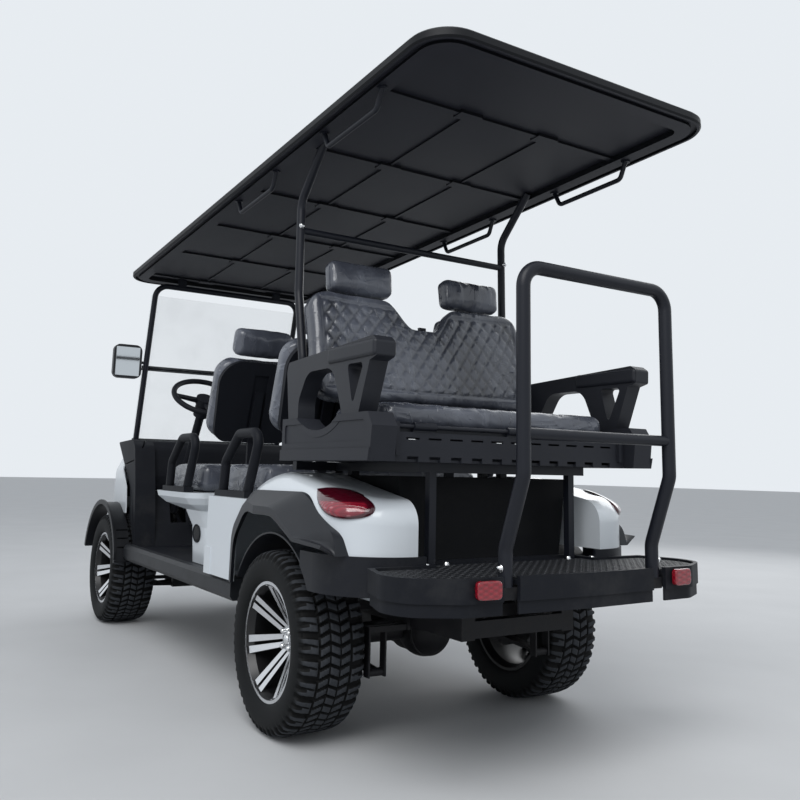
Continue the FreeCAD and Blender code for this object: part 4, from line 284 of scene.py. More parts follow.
def tyre_rubber(name):
    """Rubber: black down in the grooves, scuffed pale on the block tops, smooth and dark on the walls."""
    f = Finish(name)
    p = f.place()
    height = f.attribute("tread")
    top = height.step(0.82, 0.98)
    wall = f.attribute("wall")
    bloom = f.noise(p, 8.0, 4.0, 0.6)
    scuff = top * (0.45 + f.noise(p, 90.0, 4.0, 0.65) * 0.9)
    black = f.mix(bloom.step(0.35, 0.7), (0.0030, 0.0036, 0.0042), (0.0058, 0.0068, 0.0078))
    blocks = f.mix(scuff, (0.0018, 0.0019, 0.0022), (0.040, 0.044, 0.051))
    return f.set(
        colour=f.mix(wall, blocks, black),
        rough=0.62 + bloom * 0.2,
        specular=0.22,
        normal=f.bump(f.noise(p, 700.0, 2.0), 0.0002),
    )


def plain_metal(name, colour, rough):
    """Bright metal with a soft smear."""
    f = Finish(name)
    p = f.place()
    smear = f.noise(p, 14.0, 4.0)
    return f.set(
        colour=f.mix(smear.step(0.3, 0.75), colour, [c * 0.86 for c in colour]),
        metal=1.0,
        rough=rough + smear * 0.12,
        normal=f.bump(f.noise(p, 900.0, 2.0), 0.00004),
    )


def lamp_plastic(name, colour, rib=180.0):
    """Moulded lens: deep colour under a clear coat with fine prisms behind the surface."""
    f = Finish(name)
    x, y, z = f.parts(f.place())
    prism = (x * rib + y * rib * 0.4).math("SINE") * (z * rib).math("SINE")
    return f.set(
        colour=f.mix(prism * 0.5 + 0.5, [c * 0.55 for c in colour], colour),
        rough=0.16,
        coat=1.0,
        coat_rough=0.03,
        normal=f.bump(prism, 0.0006),
    )


def clear_pane(name):
    """Acrylic pane: mostly see-through with a faint tint and smears."""
    f = Finish(name)
    p = f.place()
    smear = f.noise(p, 5.0, 4.0).step(0.4, 0.8)
    f.set(colour=(0.80, 0.86, 0.87), rough=0.06 + smear * 0.08, alpha=0.08 + smear * 0.04, specular=0.6)
    f.material.surface_render_method = "BLENDED"
    return f.material


def machined_rim(name):
    """Spoke faces and lip turned bright where they face outwards; gloss black in the pockets and barrel."""
    f = Finish(name)
    x, y, z = f.parts(f.place())
    outwards = f.facing()[1] * y.math("SIGN")
    bright = outwards.step(0.50, 0.62)
    marks = f.noise(f.vector(x * 6, y * 6, z * 6), 60.0, 2.0)
    return f.set(
        colour=f.mix(bright, (0.006, 0.006, 0.007), (0.72, 0.73, 0.75)),
        metal=bright * 0.96,
        rough=0.32 - bright * 0.12 + marks * 0.08,
        normal=f.bump(marks, 0.00005),
    )


def filmed_vinyl(name):
    """Dark quilted vinyl under clear film: pale haze, long painted glints (pale colour standing in for
    highlights) along the film's pulled creases, and painted shade in the sunk quilt lines.
    Ridged noise, stretched one way and then the other, gives the creases their sharp backs."""
    f = Finish(name)
    p = f.place()
    long = f.ridges(f.scaled(p, (2.2, 6.0, 1.5)), 1.7, 2.0).step(0.55, 1.45)
    short = f.ridges(f.scaled(p, (5.0, 1.8, 7.0)), 2.0, 2.0).step(0.65, 1.5)
    thin = f.ridges(f.scaled(p, (3.0, 13.0, 5.0)), 2.4, 1.0).step(1.00, 1.42)
    slant = f.ridges(f.scaled(p, (9.0, 4.0, 3.0)), 2.6, 1.0).step(1.02, 1.45)
    where = f.noise(p, 3.4, 2.0).step(0.42, 0.60)
    crease_and_painted_glint = long * (1 - where * 0.75) * 0.6 + short * where * 0.5
    crease_and_painted_glint = crease_and_painted_glint + thin * (0.4 + where) * 0.5 + slant * (1 - where) * 0.5
    haze = f.noise(p, 3.2, 4.0, 0.55, 0.8).step(0.36, 0.70)
    # Painted shade: the vinyl colour is darkened in the sunk quilt lines on the front.
    leather_and_line_shade = f.mix(f.attribute("quilt_line_shade").step(0.15, 0.95), (0.011, 0.012, 0.016), (0.036, 0.040, 0.054))
    slack = f.noise(p, 11.0, 2.0, 0.5, 0.6)
    grain = f.bump(f.cells(p, 420.0, "SMOOTH_F1"), 0.00005)
    return f.set(
        # Painted highlight: pale colour along the film's creases stands in for glints.
        colour=f.mix(haze * 0.40 + crease_and_painted_glint * 0.30 + 0.10, leather_and_line_shade, (0.170, 0.186, 0.225)),
        rough=(0.25 - crease_and_painted_glint * 0.12 + haze * 0.07).most(0.10),
        specular=0.8,
        normal=f.bump(crease_and_painted_glint * 0.8 + slack * 0.3, 0.0062, 0.9, grain),
    )


def tread_plate_finish(name):
    """Step plate: satin black, scuffed paler where feet rub its raised bars, with fine dirt between."""
    f = Finish(name)
    p = f.place()
    raised = f.parts(p)[2].step(PLATE_TOP + 0.0004, PLATE_TOP + 0.0014)
    scuff = f.noise(p, 40.0, 4.0, 0.65).step(0.35, 0.75) * raised
    bare = f.mix(raised, (0.0070, 0.0078, 0.0100), (0.0150, 0.0165, 0.0205))
    return f.set(
        colour=f.mix(scuff, bare, (0.050, 0.053, 0.060)),
        rough=0.52 - raised * 0.14 + f.noise(p, 9.0, 4.0) * 0.12,
        specular=0.32,
        normal=f.bump(f.noise(p, 500.0, 2.0), 0.0001),
    )


def mirror_cases(name):
    """Black cases with a silvered face on the side that looks back."""
    f = Finish(name)
    p = f.place()
    y, z = f.parts(p)[1:]
    half_wide, half_tall, middle_y, middle_z = GLASS
    beside = half_wide - (y.size() - middle_y).size()
    inside = beside.least(half_tall - (z - middle_z).size()).step(0.0, 0.002)
    glass = (-f.facing()[0]).step(0.90, 0.97) * inside
    return f.set(
        colour=f.mix(glass, (0.010, 0.011, 0.014), (0.55, 0.58, 0.60)),
        metal=glass,
        rough=0.42 - glass * 0.38,
        normal=f.bump(f.cells(p, 900.0, "SMOOTH_F1") * (1 - glass), 0.00008),
    )


def roof_skin(name):
    """Roof: near-black grained edge and top, greyer smooth moulding underneath."""
    f = Finish(name)
    p = f.place()
    down = (-f.facing()[2]).step(0.80, 0.95)
    mottle = f.noise(p, 2.5, 4.0, 0.6)
    lower = f.mix(mottle.step(0.3, 0.7), (0.0150, 0.0158, 0.0215), (0.0200, 0.0208, 0.0275))
    return f.set(
        colour=f.mix(down, (0.0045, 0.0052, 0.0070), lower),
        rough=0.42 + mottle * 0.14,
        specular=0.22,
        normal=f.bump(f.cells(p, 600.0, "SMOOTH_F1") + f.noise(p, 300.0, 2.0), 0.00022),
    )


def seamed_sill(name, seams):
    """Sill mouldings: grained black with fine upright joints where the lengths meet."""
    f = Finish(name)
    p = f.place()
    x = f.parts(p)[0]
    near_one, near_other = (x.math("COMPARE", seam, 0.0016) for seam in seams)
    joint = near_one.most(near_other)
    dust = f.noise(p, 7.0, 5.0, 0.65).step(0.45, 0.8) * 0.22
    grey = f.mix(dust, (0.013, 0.0145, 0.018), (0.06, 0.06, 0.058))
    return f.set(
        colour=f.mix(joint, grey, (0.001, 0.001, 0.001)),
        rough=0.46 + dust * 0.5,
        specular=0.32,
        normal=f.bump((1 - joint) + f.cells(p, 800.0, "SMOOTH_F1") * 0.06, 0.0015),
    )


def tail_lens(name):
    """Red lens: dark upper bar, brighter reflector bowl below with fine ribs and painted glints (pale specks
    in its colour), under clear plastic.
    """
    f = Finish(name)
    up = f.attribute("up")
    out = f.attribute("out")
    x, y, z = f.parts(f.place())
    ribs = ((x - y) * 520.0).math("SINE") * 0.5 + 0.5
    lines = (z * 900.0).math("SINE") * 0.5 + 0.5
    bowl = up.step(0.60, 0.52) * out.step(0.90, 0.80)
    # Painted highlight: pale specks painted into the reflector bowl's colour.
    painted_glint = bowl * f.cells(f.vector(x * 30, y * 30, z * 70), 1.0).step(0.30, 0.1) * 0.35
    red = f.mix(bowl * (0.35 + ribs * 0.3), (0.055, 0.002, 0.008), (0.40, 0.012, 0.035))
    return f.set(
        colour=f.mix(painted_glint, red, (0.75, 0.32, 0.36)),
        rough=0.13,
        coat=1.0,
        coat_rough=0.03,
        normal=f.bump(ribs * bowl + lines * 0.3 * (1 - bowl), 0.0008),
    )


def speaker_cloth(name):
    """Punched black grille: a close grid of round holes."""
    f = Finish(name)
    p = f.place()
    hole = f.cells(p, 260.0, "F1", 0.15).step(0.26, 0.36)
    return f.set(
        colour=f.mix(hole, (0.001, 0.001, 0.001), (0.012, 0.013, 0.015)),
        rough=0.55,
        specular=0.3,
        normal=f.bump(hole, 0.0008),
    )


# Finishes by material slot, then those of the scene's own pieces
M = {
    "plastic_black": grained_plastic("plastic_black", (0.0075, 0.0086, 0.0120)),
    "roof_black": roof_skin("roof_black"),
    "panel_white": gloss_panel("panel_white", (0.66, 0.705, 0.745)),
    "frame_black": powder_coat("frame_black", (0.0100, 0.0115, 0.0170)),
    "steel_dark": chassis_paint("steel_dark"),
    "battery_case": grained_plastic("battery_case", (0.016, 0.016, 0.017)),
    "tyre": tyre_rubber("tyre"),
    "chrome": plain_metal("chrome", (0.78, 0.79, 0.80), 0.08),
    "lamp_red": lamp_plastic("lamp_red", (0.30, 0.004, 0.016), 420.0),
    "lamp_clear": lamp_plastic("lamp_clear", (0.62, 0.65, 0.68)),
    "clear_glass": clear_pane("clear_glass"),
    "rim": machined_rim("rim"),
    "seat": filmed_vinyl("seat"),
    "tail_lens": tail_lens("tail_lens"),
    "grille": speaker_cloth("grille"),
}
# Nodes whose finish differs from the rest of their slot: for a moulding its colour, roughness, grain,
# grain depth, dust and shine
MOULDINGS = {
    "rear_flares": ("flare_black", (0.0110, 0.0125, 0.0165), 0.36, 500.0, 0.00005, 0.08, 0.36),
    "front_fenders": ("fender_black", (0.0062, 0.0070, 0.0090), 0.40, 700.0, 0.00008, 0.12, 0.26),
    "rear_seat_tray": ("tray_grey", (0.0165, 0.0180, 0.0235), 0.50, 800.0, 0.00014, 0.08, 0.26),
    "armrests": ("armrest_grey", (0.0150, 0.0165, 0.0215), 0.44, 800.0, 0.00014, 0.05, 0.30),
    "rear_skirt": ("skirt_black", (0.0080, 0.0092, 0.0130), 0.44, 700.0, 0.00010, 0.10, 0.24),
    "bag_well": ("well_black", (0.0030, 0.0035, 0.0046), 0.60, 300.0, 0.0003, 0.06, 0.16),
}
OWN_FINISH = {node: grained_plastic(*looks) for node, looks in MOULDINGS.items()}
OWN_FINISH["sill_panels"] = seamed_sill("sill_black", (-0.253, 0.442))
OWN_FINISH["tread_plate"] = tread_plate_finish("tread_plate")
OWN_FINISH["mirrors"] = mirror_cases("mirror_cases")

for part in frame["record"]["subparts"]:
    mesh = NODES[part["node"]].data
    mesh.materials.clear()
    mesh.materials.append(OWN_FINISH.get(part["node"], M[part["material_slot"]]))


def put(name, points, faces, material, body, marks=None):
    """Makes a smooth mesh piece from point and face arrays, with its marks as attributes, on its body."""
    mesh = bpy.data.meshes.new(name)
    points = np.asarray(points, dtype=np.float32).reshape(-1, 3)
    faces = np.asarray(faces, dtype=np.int32)
    mesh.vertices.add(len(points))
    mesh.vertices.foreach_set("co", points.ravel())
    mesh.loops.add(faces.size)
    mesh.loops.foreach_set("vertex_index", faces.ravel())
    mesh.polygons.add(len(faces))
    mesh.polygons.foreach_set("loop_start", np.arange(0, faces.size, faces.shape[1], dtype=np.int32))
    for label, values in (marks or {}).items():
        mark = mesh.attributes.new(label, "FLOAT", "POINT")
        mark.data.foreach_set("value", np.asarray(values, np.float32).ravel())
    mesh.update(calc_edges=True)
    mesh.validate()
    mesh.shade_smooth()
    mesh.materials.append(material)
    piece = bpy.data.objects.new(name, mesh)
    bpy.context.scene.collection.objects.link(piece)
    if body:
        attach(piece, body)
    return piece


def ring_faces(rows, columns, closed_rows=True):
    """Quads of a grid whose columns close into a ring, and whose rows may close too."""
    row = np.arange(rows if closed_rows else rows - 1)[:, None]
    column = np.arange(columns)[None, :]
    ahead = (row + 1) % rows
    beside = (column + 1) % columns
    corners = ((row, column), (row, beside), (ahead, beside), (ahead, column))
    return np.stack([r * columns + c for r, c in corners], -1).reshape(-1, 4)


def turned(profile, segments):
    """Closed form turned about z from radius and height pairs, the first and last on the axis."""
    profile = np.array(profile, float)
    turn = np.arange(segments) * 2 * math.pi / segments
    radius, height = profile[1:-1, 0, None], profile[1:-1, 1, None]
    rings = np.stack([radius * np.cos(turn), radius * np.sin(turn), height + 0 * turn], -1)
    count = len(profile) - 2
    points = np.vstack([[[0, 0, profile[0, 1]]], rings.reshape(-1, 3), [[0, 0, profile[-1, 1]]]])
    quads = ring_faces(count, segments, False) + 1
    low = 1 + np.arange(segments)
    high = low + (count - 1) * segments
    bottom = np.stack([0 * low, np.roll(low, -1), low], -1)
    top = np.stack([0 * high + len(points) - 1, high, np.roll(high, -1)], -1)
    return points, np.vstack([bottom, quads[:, [0, 1, 2]], quads[:, [0, 2, 3]], top])


def axes_along(direction):
    """Three columns, the last of them along the direction."""
    ahead = np.asarray(direction, float) / np.linalg.norm(direction)
    side = np.cross((0, 0, 1) if abs(ahead[2]) < 0.9 else (1, 0, 0), ahead)
    side /= np.linalg.norm(side)
    return np.stack([side, np.cross(ahead, side), ahead], -1)


def scattered(name, form, places, material, body):
    """One small form set at many places, each a point and the direction that it stands up in."""
    points, faces = form
    turns = np.stack([axes_along(direction) for place, direction in places])
    spots = np.array([place for place, direction in places], float)
    copies = np.einsum("kij,nj->kni", turns, points) + spots[:, None, :]
    all_faces = faces[None] + (np.arange(len(places)) * len(points))[:, None, None]
    return put(name, copies, all_faces.reshape(-1, faces.shape[1]), material, body)


# Search trees of the CAD nodes that lines have been cast at
TREES = {}


def landing(node, start, direction):
    """Point and outward direction where a line from start meets a CAD node."""
    if node not in TREES:
        TREES[node] = BVHTree.FromObject(NODES[node], bpy.context.evaluated_depsgraph_get())
    return TREES[node].ray_cast(Vector(start), Vector(direction).normalized())[:2]


def bolt(radius, height):
    """Domed bolt head with its flange, sunk a millimetre into what carries it."""
    return turned(
        [(0, -0.001), (radius * 1.25, -0.001), (radius * 1.25, height * 0.2), (radius, height * 0.24),
         (radius * 0.97, height * 0.75), (radius * 0.6, height), (0, height)],
        18,
    )


# Tyres: half profile of width and radius from the middle of the tread to the bead, in metres
TREAD_HALF = [
    (0.0, 0.2920), (0.007, 0.2920), (0.0145, 0.2920), (0.0158, 0.2920), (0.0192, 0.2919),
    (0.0205, 0.2919), (0.028, 0.2918), (0.036, 0.2917), (0.044, 0.2915), (0.0505, 0.2913),
    (0.0522, 0.2913), (0.0578, 0.2911), (0.0595, 0.2910), (0.067, 0.2905), (0.075, 0.2898),
    (0.083, 0.2888), (0.091, 0.2874), (0.0985, 0.2852), (0.1045, 0.2818), (0.1085, 0.2775),
    (0.1115, 0.2715), (0.1138, 0.2640), (0.1158, 0.2550), (0.1176, 0.2430), (0.1172, 0.2280),
    (0.1150, 0.2130), (0.1115, 0.2015), (0.1065, 0.1940), (0.1032, 0.1925), (0.1028, 0.1908),
    (0.0958, 0.1902), (0.0952, 0.1806), (0.0800, 0.1806), (0.0780, 0.2000),
]
TYRE_STEPS = 616
PITCHES = 28
LUG_DEPTH = 0.0115
SHOULDER = 0.105
# Tread columns, out from the middle: where the round grooves lie, and how far the cross grooves lean
INNER_GROOVE, COLUMN_MIDDLE, OUTER_GROOVE, LEAN = 0.0175, 0.03625, 0.055, 0.42

# Wheel centres, the tyre's outer radius, which is also their height, and the circle of the nuts
REAR_X, FRONT_X, WHEEL_Y, WHEEL_RADIUS = -0.928, 1.372, 0.5, 0.292
NUT_CIRCLE = 0.034


def near(value, middle, width, soft):
    """1 within half a width of the middle, falling to 0 over a soft distance."""
    return np.clip((width / 2 + soft - np.abs(value - middle)) / soft, 0, 1)


def wrapped(value):
    """Distance from the nearest whole number, signed."""
    return value - np.round(value)


def tread_grooves(turn, across):
    """Depth from 0 to 1 over the tread. Two rows of blocks to a pitch; their cross grooves lean one way in
    the middle column and the other way beside it, so the blocks make a herringbone. Round grooves part
    the columns, and the shoulders have wide gaps with a notch between them, half a pitch apart per side."""
    pitch = turn * PITCHES / (2 * math.pi)
    length = 2 * math.pi * WHEEL_RADIUS / PITCHES
    side = np.where(across >= 0, 0.0, 0.5)
    wide = np.abs(across)
    rounds = np.maximum(near(wide, INNER_GROOVE, 0.0026, 0.0012), near(wide, OUTER_GROOVE, 0.0052, 0.0016))
    beside = (wide - COLUMN_MIDDLE) * np.sign(across)
    shift = np.where(wide < INNER_GROOVE, LEAN * across, -LEAN * beside)
    middle = near(wrapped(2 * pitch - 2 * shift / length) * length / 2, 0, 0.0068, 0.0026) * (wide < 0.054)
    gap = near(wrapped(pitch - side) * length, 0.16 * (wide - 0.08), 0.017, 0.0030) * (wide > 0.057)
    between = wrapped(pitch - side - 0.5) * length
    notch = near(between, 0.0, 0.0095, 0.0030) * (wide > 0.086) * 0.8
    sipe = near(between, 0.25 * (wide - 0.07), 0.0026, 0.0020) * (wide > 0.060) * 0.6
    return np.clip(np.maximum.reduce([rounds, middle, gap, notch, sipe]), 0, 1)


def tyre_form():
    """Profile carried round the axle; grooves move it inwards and fade out down the shoulder."""
    half = np.array(TREAD_HALF)
    profile = np.vstack([half[::-1] * (-1, 1), half[1:]])
    width, radius = profile[:, 0], profile[:, 1]
    turn = np.arange(TYRE_STEPS) * 2 * math.pi / TYRE_STEPS
    fade = np.clip((radius - 0.262) / 0.012, 0, 1)
    cut = tread_grooves(turn[:, None], width[None, :] + 0 * turn[:, None]) * fade[None, :]
    inwards = np.where(np.abs(width) > SHOULDER, 0.5, 0.0)
    reach = radius[None, :] - cut * LUG_DEPTH * (1 - 0.4 * inwards)
    beside = width[None, :] - np.sign(width)[None, :] * cut * LUG_DEPTH * inwards
    points = np.stack([reach * np.sin(turn)[:, None], beside, reach * np.cos(turn)[:, None]], -1)
    wall = np.clip((0.283 - radius) / 0.010, 0, 1)[None, :] + 0 * cut
    return points, {"tread": 1 - cut, "wall": wall * (1 - cut)}


def wheels():
    """The four tyres, the wheel nuts and the hub caps, each riding on its wheel."""
    points, marks = tyre_form()
    faces = ring_faces(*points.shape[:2])
    nut = turned([(0, -0.002), (0.0125, -0.002), (0.0125, 0.004), (0.0100, 0.006), (0.0096, 0.021),
                  (0.006, 0.027), (0, 0.0285)], 18)
    cap = turned([(0, -0.001), (0.020, -0.001), (0.020, 0.006), (0.0165, 0.012), (0.008, 0.0145),
                  (0, 0.015)], 28)
    quarters = np.array((0.785, 2.356, 3.927, 5.498))
    for place, x, side in (("rear_left", REAR_X, 1), ("rear_right", REAR_X, -1), ("front_left", FRONT_X, 1),
                           ("front_right", FRONT_X, -1)):
        body = BODY_OF["tyre_" + place]
        middle = (x, side * WHEEL_Y, WHEEL_RADIUS)
        tyre = put("tyre_tread_" + place, points + middle, faces, M["tyre"], body, marks)
        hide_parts("tyre_" + place)
        beyond = side * (WHEEL_Y + 0.3)
        face = landing("rim_" + place, (x + NUT_CIRCLE, beyond, WHEEL_RADIUS), (0, -side, 0))[0]
        centre = landing("rim_" + place, (x, beyond, WHEEL_RADIUS), (0, -side, 0))[0]
        across, up = x + NUT_CIRCLE * np.cos(quarters), WHEEL_RADIUS + NUT_CIRCLE * np.sin(quarters)
        spots = [((a, face.y, u), (0, side, 0)) for a, u in zip(across, up)]
        scattered("wheel_nuts_" + place, nut, spots, M["chrome"], body)
        scattered("hub_cap_" + place, cap, [((x, centre.y, WHEEL_RADIUS), (0, side, 0))], M["chrome"], body)


wheels()


# Padded seats: the cloth's pressure, stiffness and frames, and how far a point may move, as a share of
# the distance that the pad starts inside its solid
PUFF_PRESSURE, PUFF_STIFFNESS, PUFF_FRAMES, PUFF_REACH = 4.0, 22.0, 20, 1.4


def rounded_outline(across, along, half, low, high, corner):
    """A rectangle's points with each corner square pulled onto its quarter circle."""
    middle = (low + high) / 2
    over = np.abs(across) - (half - corner)
    beyond = np.abs(along - middle) - ((high - low) / 2 - corner)
    ratio = np.maximum(over, beyond) / np.maximum(np.hypot(over, beyond), 1e-9)
    pull = np.where((over > 0) & (beyond > 0), ratio, 1)
    flat = np.sign(across) * ((half - corner) + over * pull)
    tall = middle + np.sign(along - middle) * ((high - low) / 2 - corner + beyond * pull)
    inner = (over <= 0) | (beyond <= 0)
    return np.where(inner, across, flat), np.where(inner, along, tall)


def two_lobes(across, along, tall):
    """Top edge of the rear back: full height over the lobes and a valley at the middle."""
    dip = 0.5 + 0.5 * np.cos(math.pi * np.clip((np.abs(across) - 0.045) / 0.125, 0, 1))
    return along * (1 - dip * 0.105 / tall)


def slab(half, tall, thick, corner, edge, step, lobes=False):
    """Closed pad: a front and a back sheet of the outline joined by rings that round the edge over.
    Returns points as across, along and through, and quads; across runs left to right seen from the front."""
    columns = int(round(2 * half / step)) + 1
    rows = int(round(tall / step)) + 1
    layers = max(2, int(round((thick - 2 * edge) / step)) + 1)

    def sheet(inset):
        wide, high = half - inset, tall - inset
        across, along = np.meshgrid(np.linspace(-wide, wide, columns), np.linspace(inset, high, rows))
        across, along = rounded_outline(across, along, wide, inset, high, max(corner - inset, 0.012))
        if lobes:
            along = two_lobes(across, along, tall)
        return np.stack([across, along], -1)

    index = np.arange(rows * columns).reshape(rows, columns)
    loop = np.concatenate([index[0, :-1], index[:-1, -1], index[-1, :0:-1], index[:0:-1, 0]])
    turns = np.linspace(0, math.pi / 2, 4)
    arc = [(edge * (1 - math.sin(t)), thick / 2 - edge * (1 - math.cos(t))) for t in turns[1:]]
    down = [(0.0, h) for h in np.linspace(thick / 2 - edge, edge - thick / 2, layers)[1:-1]]
    rings = arc + down + [(inset, -h) for inset, h in arc[::-1]]
    front = sheet(edge)
    points = [np.dstack([front, np.full(front.shape[:2], thick / 2)]).reshape(-1, 3)]
    points.append(np.dstack([front, np.full(front.shape[:2], -thick / 2)]).reshape(-1, 3))
    count = rows * columns
    lines = [loop]
    for inset, height in rings:
        ring = sheet(inset).reshape(-1, 2)[loop]
        points.append(np.column_stack([ring, np.full(len(ring), height)]))
        lines.append(2 * count + (len(lines) - 1) * len(loop) + np.arange(len(loop)))
    lines.append(loop + count)
    quads = np.stack([index[:-1, :-1], index[:-1, 1:], index[1:, 1:], index[1:, :-1]], -1).reshape(-1, 4)
    faces = [quads, (quads + count)[:, ::-1]]
    for upper, lower in zip(lines[:-1], lines[1:]):
        faces.append(np.stack([upper, lower, np.roll(lower, -1), np.roll(upper, -1)], -1))
    return np.vstack(points), np.vstack(faces)


def puffed(shapes):
    """Blows the slabs up as cloth under pressure, all at once, and caps how far each point moves."""
    pads = []
    for name, (points, faces, cap) in shapes.items():
        pad = put("puff_" + name, points, faces, None, None)
        cloth = pad.modifiers.new("Cloth", "CLOTH")
        cloth.settings.use_pressure = True
        cloth.settings.uniform_pressure_force = PUFF_PRESSURE
        cloth.settings.effector_weights.gravity = 0.0
        cloth.settings.tension_stiffness = PUFF_STIFFNESS
        cloth.settings.compression_stiffness = PUFF_STIFFNESS
        pads.append((name, pad))
    last = PUFF_FRAMES
    for frame_number in range(1, last + 1):
        bpy.context.scene.frame_set(frame_number)
    graph = bpy.context.evaluated_depsgraph_get()
    moved = {}
    for name, pad in pads:
        points, faces, cap = shapes[name]
        blown = np.empty(len(points) * 3, np.float32)
        pad.evaluated_get(graph).data.vertices.foreach_get("co", blown)
        step = blown.reshape(-1, 3) - points
        length = np.linalg.norm(step, axis=1, keepdims=True)
        moved[name] = points + step * np.minimum(1, cap / np.maximum(length, 1e-9))
    bpy.context.scene.frame_set(1)
    for name, pad in pads:
        bpy.data.meshes.remove(pad.data)
    return moved


def smoothed(points, faces, marks):
    """Subdivides a closed mesh once and returns its points, faces and marks."""
    pad = put("smoothing", points, faces, None, None, marks)
    smoother = pad.modifiers.new("Subdivision", "SUBSURF")
    smoother.levels = smoother.render_levels = 1
    mesh = bpy.data.meshes.new_from_object(pad.evaluated_get(bpy.context.evaluated_depsgraph_get()))
    spots = np.empty(len(mesh.vertices) * 3, np.float32)
    mesh.vertices.foreach_get("co", spots)
    corners = np.empty(len(mesh.loops), np.int32)
    mesh.loops.foreach_get("vertex_index", corners)
    kept = {}
    for label in marks:
        values = np.empty(len(mesh.vertices), np.float32)
        mesh.attributes[label].data.foreach_get("value", values)
        kept[label] = values
    bpy.data.meshes.remove(mesh)
    bpy.data.meshes.remove(pad.data)
    return spots.reshape(-1, 3).astype(float), corners.reshape(-1, 4), kept


def ease(value, low, high):
    """Smooth rise from 0 to 1 between two values."""
    t = np.clip((value - low) / (high - low), 0, 1)
    return t * t * (3 - 2 * t)


# A diamond's width and height, the distance between its lines, and the widths of stitch and seam
DIAMOND_WIDE, DIAMOND_TALL, LINE_APART, STITCH, SEAM = 0.058, 0.074, 0.046, 0.0065, 0.0055
QUILT_DEPTH, CREASE_DEPTH = 0.0080, 0.0018


def quilt(across, along, half, tall, margin):
    """Height from 0 to 1: crossed lines of stitches sunk between diamonds inside the margin, one seam
    round the quilted panel and a soft roll outside it. Returned with the seam and without it."""
    first = np.abs(wrapped(across / DIAMOND_WIDE + along / DIAMOND_TALL))
    second = np.abs(wrapped(across / DIAMOND_WIDE - along / DIAMOND_TALL))
    line = np.minimum(first, second) * LINE_APART
    inside = np.minimum.reduce([half - np.abs(across), along, tall - along]) - margin
    diamonds = 1 - np.exp(-((line / STITCH) ** 1.5))
    panel = ease(inside, -0.002, 0.004)
    seam = np.exp(-((inside / SEAM) ** 2))
    line_depth_and_shade = diamonds * panel + (1 - panel)
    # The second value, without the seam, also makes the painted shade that darkens the seat colour in the
    # sunk lines.
    return line_depth_and_shade * (1 - seam), line_depth_and_shade


def creases(across, along, through):
    """Pulls in the clear film: long waves that fan over the pad, from -1 to 1."""
    fan = np.sin(31 * across + 9 * np.sin(5.3 * along + 2.1 * across))
    fan *= np.sin(17 * along + 5 * np.sin(6.1 * across))
    fine = np.sin(83 * across + 21 * along + 6 * np.sin(9 * along + 40 * through))
    return 0.6 * fan + 0.4 * fine * np.sin(13 * along - 19 * across)


# Pads: half width, height, thickness, corner, edge, grid step, start inside, quilt margin (none: plain)
PADS = {
    "bench": (0.520, 0.480, 0.128, 0.045, 0.030, 0.016, 0.008, 0.060),
    "back": (0.212, 0.395, 0.085, 0.085, 0.022, 0.014, 0.006, 0.050),
    "head": (0.140, 0.132, 0.092, 0.030, 0.028, 0.012, 0.005, None),
    "rear_bench": (0.478, 0.378, 0.086, 0.045, 0.026, 0.015, 0.007, 0.055),
    "rear_back": (0.496, 0.438, 0.092, 0.080, 0.024, 0.015, 0.006, 0.050),
}


def pad_forms():
    """Finished pads at their own origin: puffed, smoothed, quilted on the front and creased all round, with a
    mark for the painted shade in the quilt lines.
    """
    base = {}
    for name, (half, tall, thick, corner, edge, step, inside, margin) in PADS.items():
        size = (half - inside, tall - 2 * inside, thick - 2 * inside)
        points, faces = slab(*size, corner, edge, step, name == "rear_back")
        base[name] = (points + (0, inside, 0), faces, inside * PUFF_REACH)
    moved = puffed(base)
    forms = {}
    for name, (half, tall, thick, corner, edge, step, inside, margin) in PADS.items():
        points, faces = base[name][:2]
        marks = {"across": points[:, 0], "along": points[:, 1], "through": points[:, 2]}
        spots, corners, kept = smoothed(moved[name], faces, marks)
        across, along, through = kept["across"], kept["along"], kept["through"]
        front = ease(through, thick / 2 - inside - 0.006, thick / 2 - inside - 0.001)
        outwards = (spots - spots.mean(axis=0)) / (half, tall / 2, thick / 2)
        outwards /= np.linalg.norm(outwards, axis=1, keepdims=True)
        spots = spots + outwards * (CREASE_DEPTH * creases(across, along, through))[:, None]
        line_depth_and_shade = np.ones(len(spots))
        if margin:
            height, line_depth_and_shade = quilt(across, along, half, tall, margin)
            spots[:, 2] -= front * (1 - height) * QUILT_DEPTH
        room = 0.0005
        low = (room - half, room, room - thick / 2)
        high = (half - room, tall - room, thick / 2 - room)
        # Painted shade mark: 0 in the sunk quilt lines on the front, where the seat colour is darkened, 1
        # elsewhere.
        forms[name] = (np.clip(spots, low, high), corners, {"quilt_line_shade": 1 - (1 - line_depth_and_shade) * front})
    return forms


def placed(points, origin, across, along, through):
    """Points of a pad on three directions from an origin."""
    return points @ np.stack([across, along, through]) + np.asarray(origin, float)


def leaning(degrees):
    """Up and forward directions of a back that leans forwards by that angle, backwards if negative."""
    turn = math.radians(degrees)
    return np.array((math.sin(turn), 0, math.cos(turn))), np.array((math.cos(turn), 0, -math.sin(turn)))


LEFTWARDS, RIGHTWARDS, FORWARDS, UPWARDS = (0, 1, 0), (0, -1, 0), (1, 0, 0), (0, 0, 1)
BACK_LEAN, REAR_LEAN, REAR_HEAD_LEAN = -18, 14.5, 8


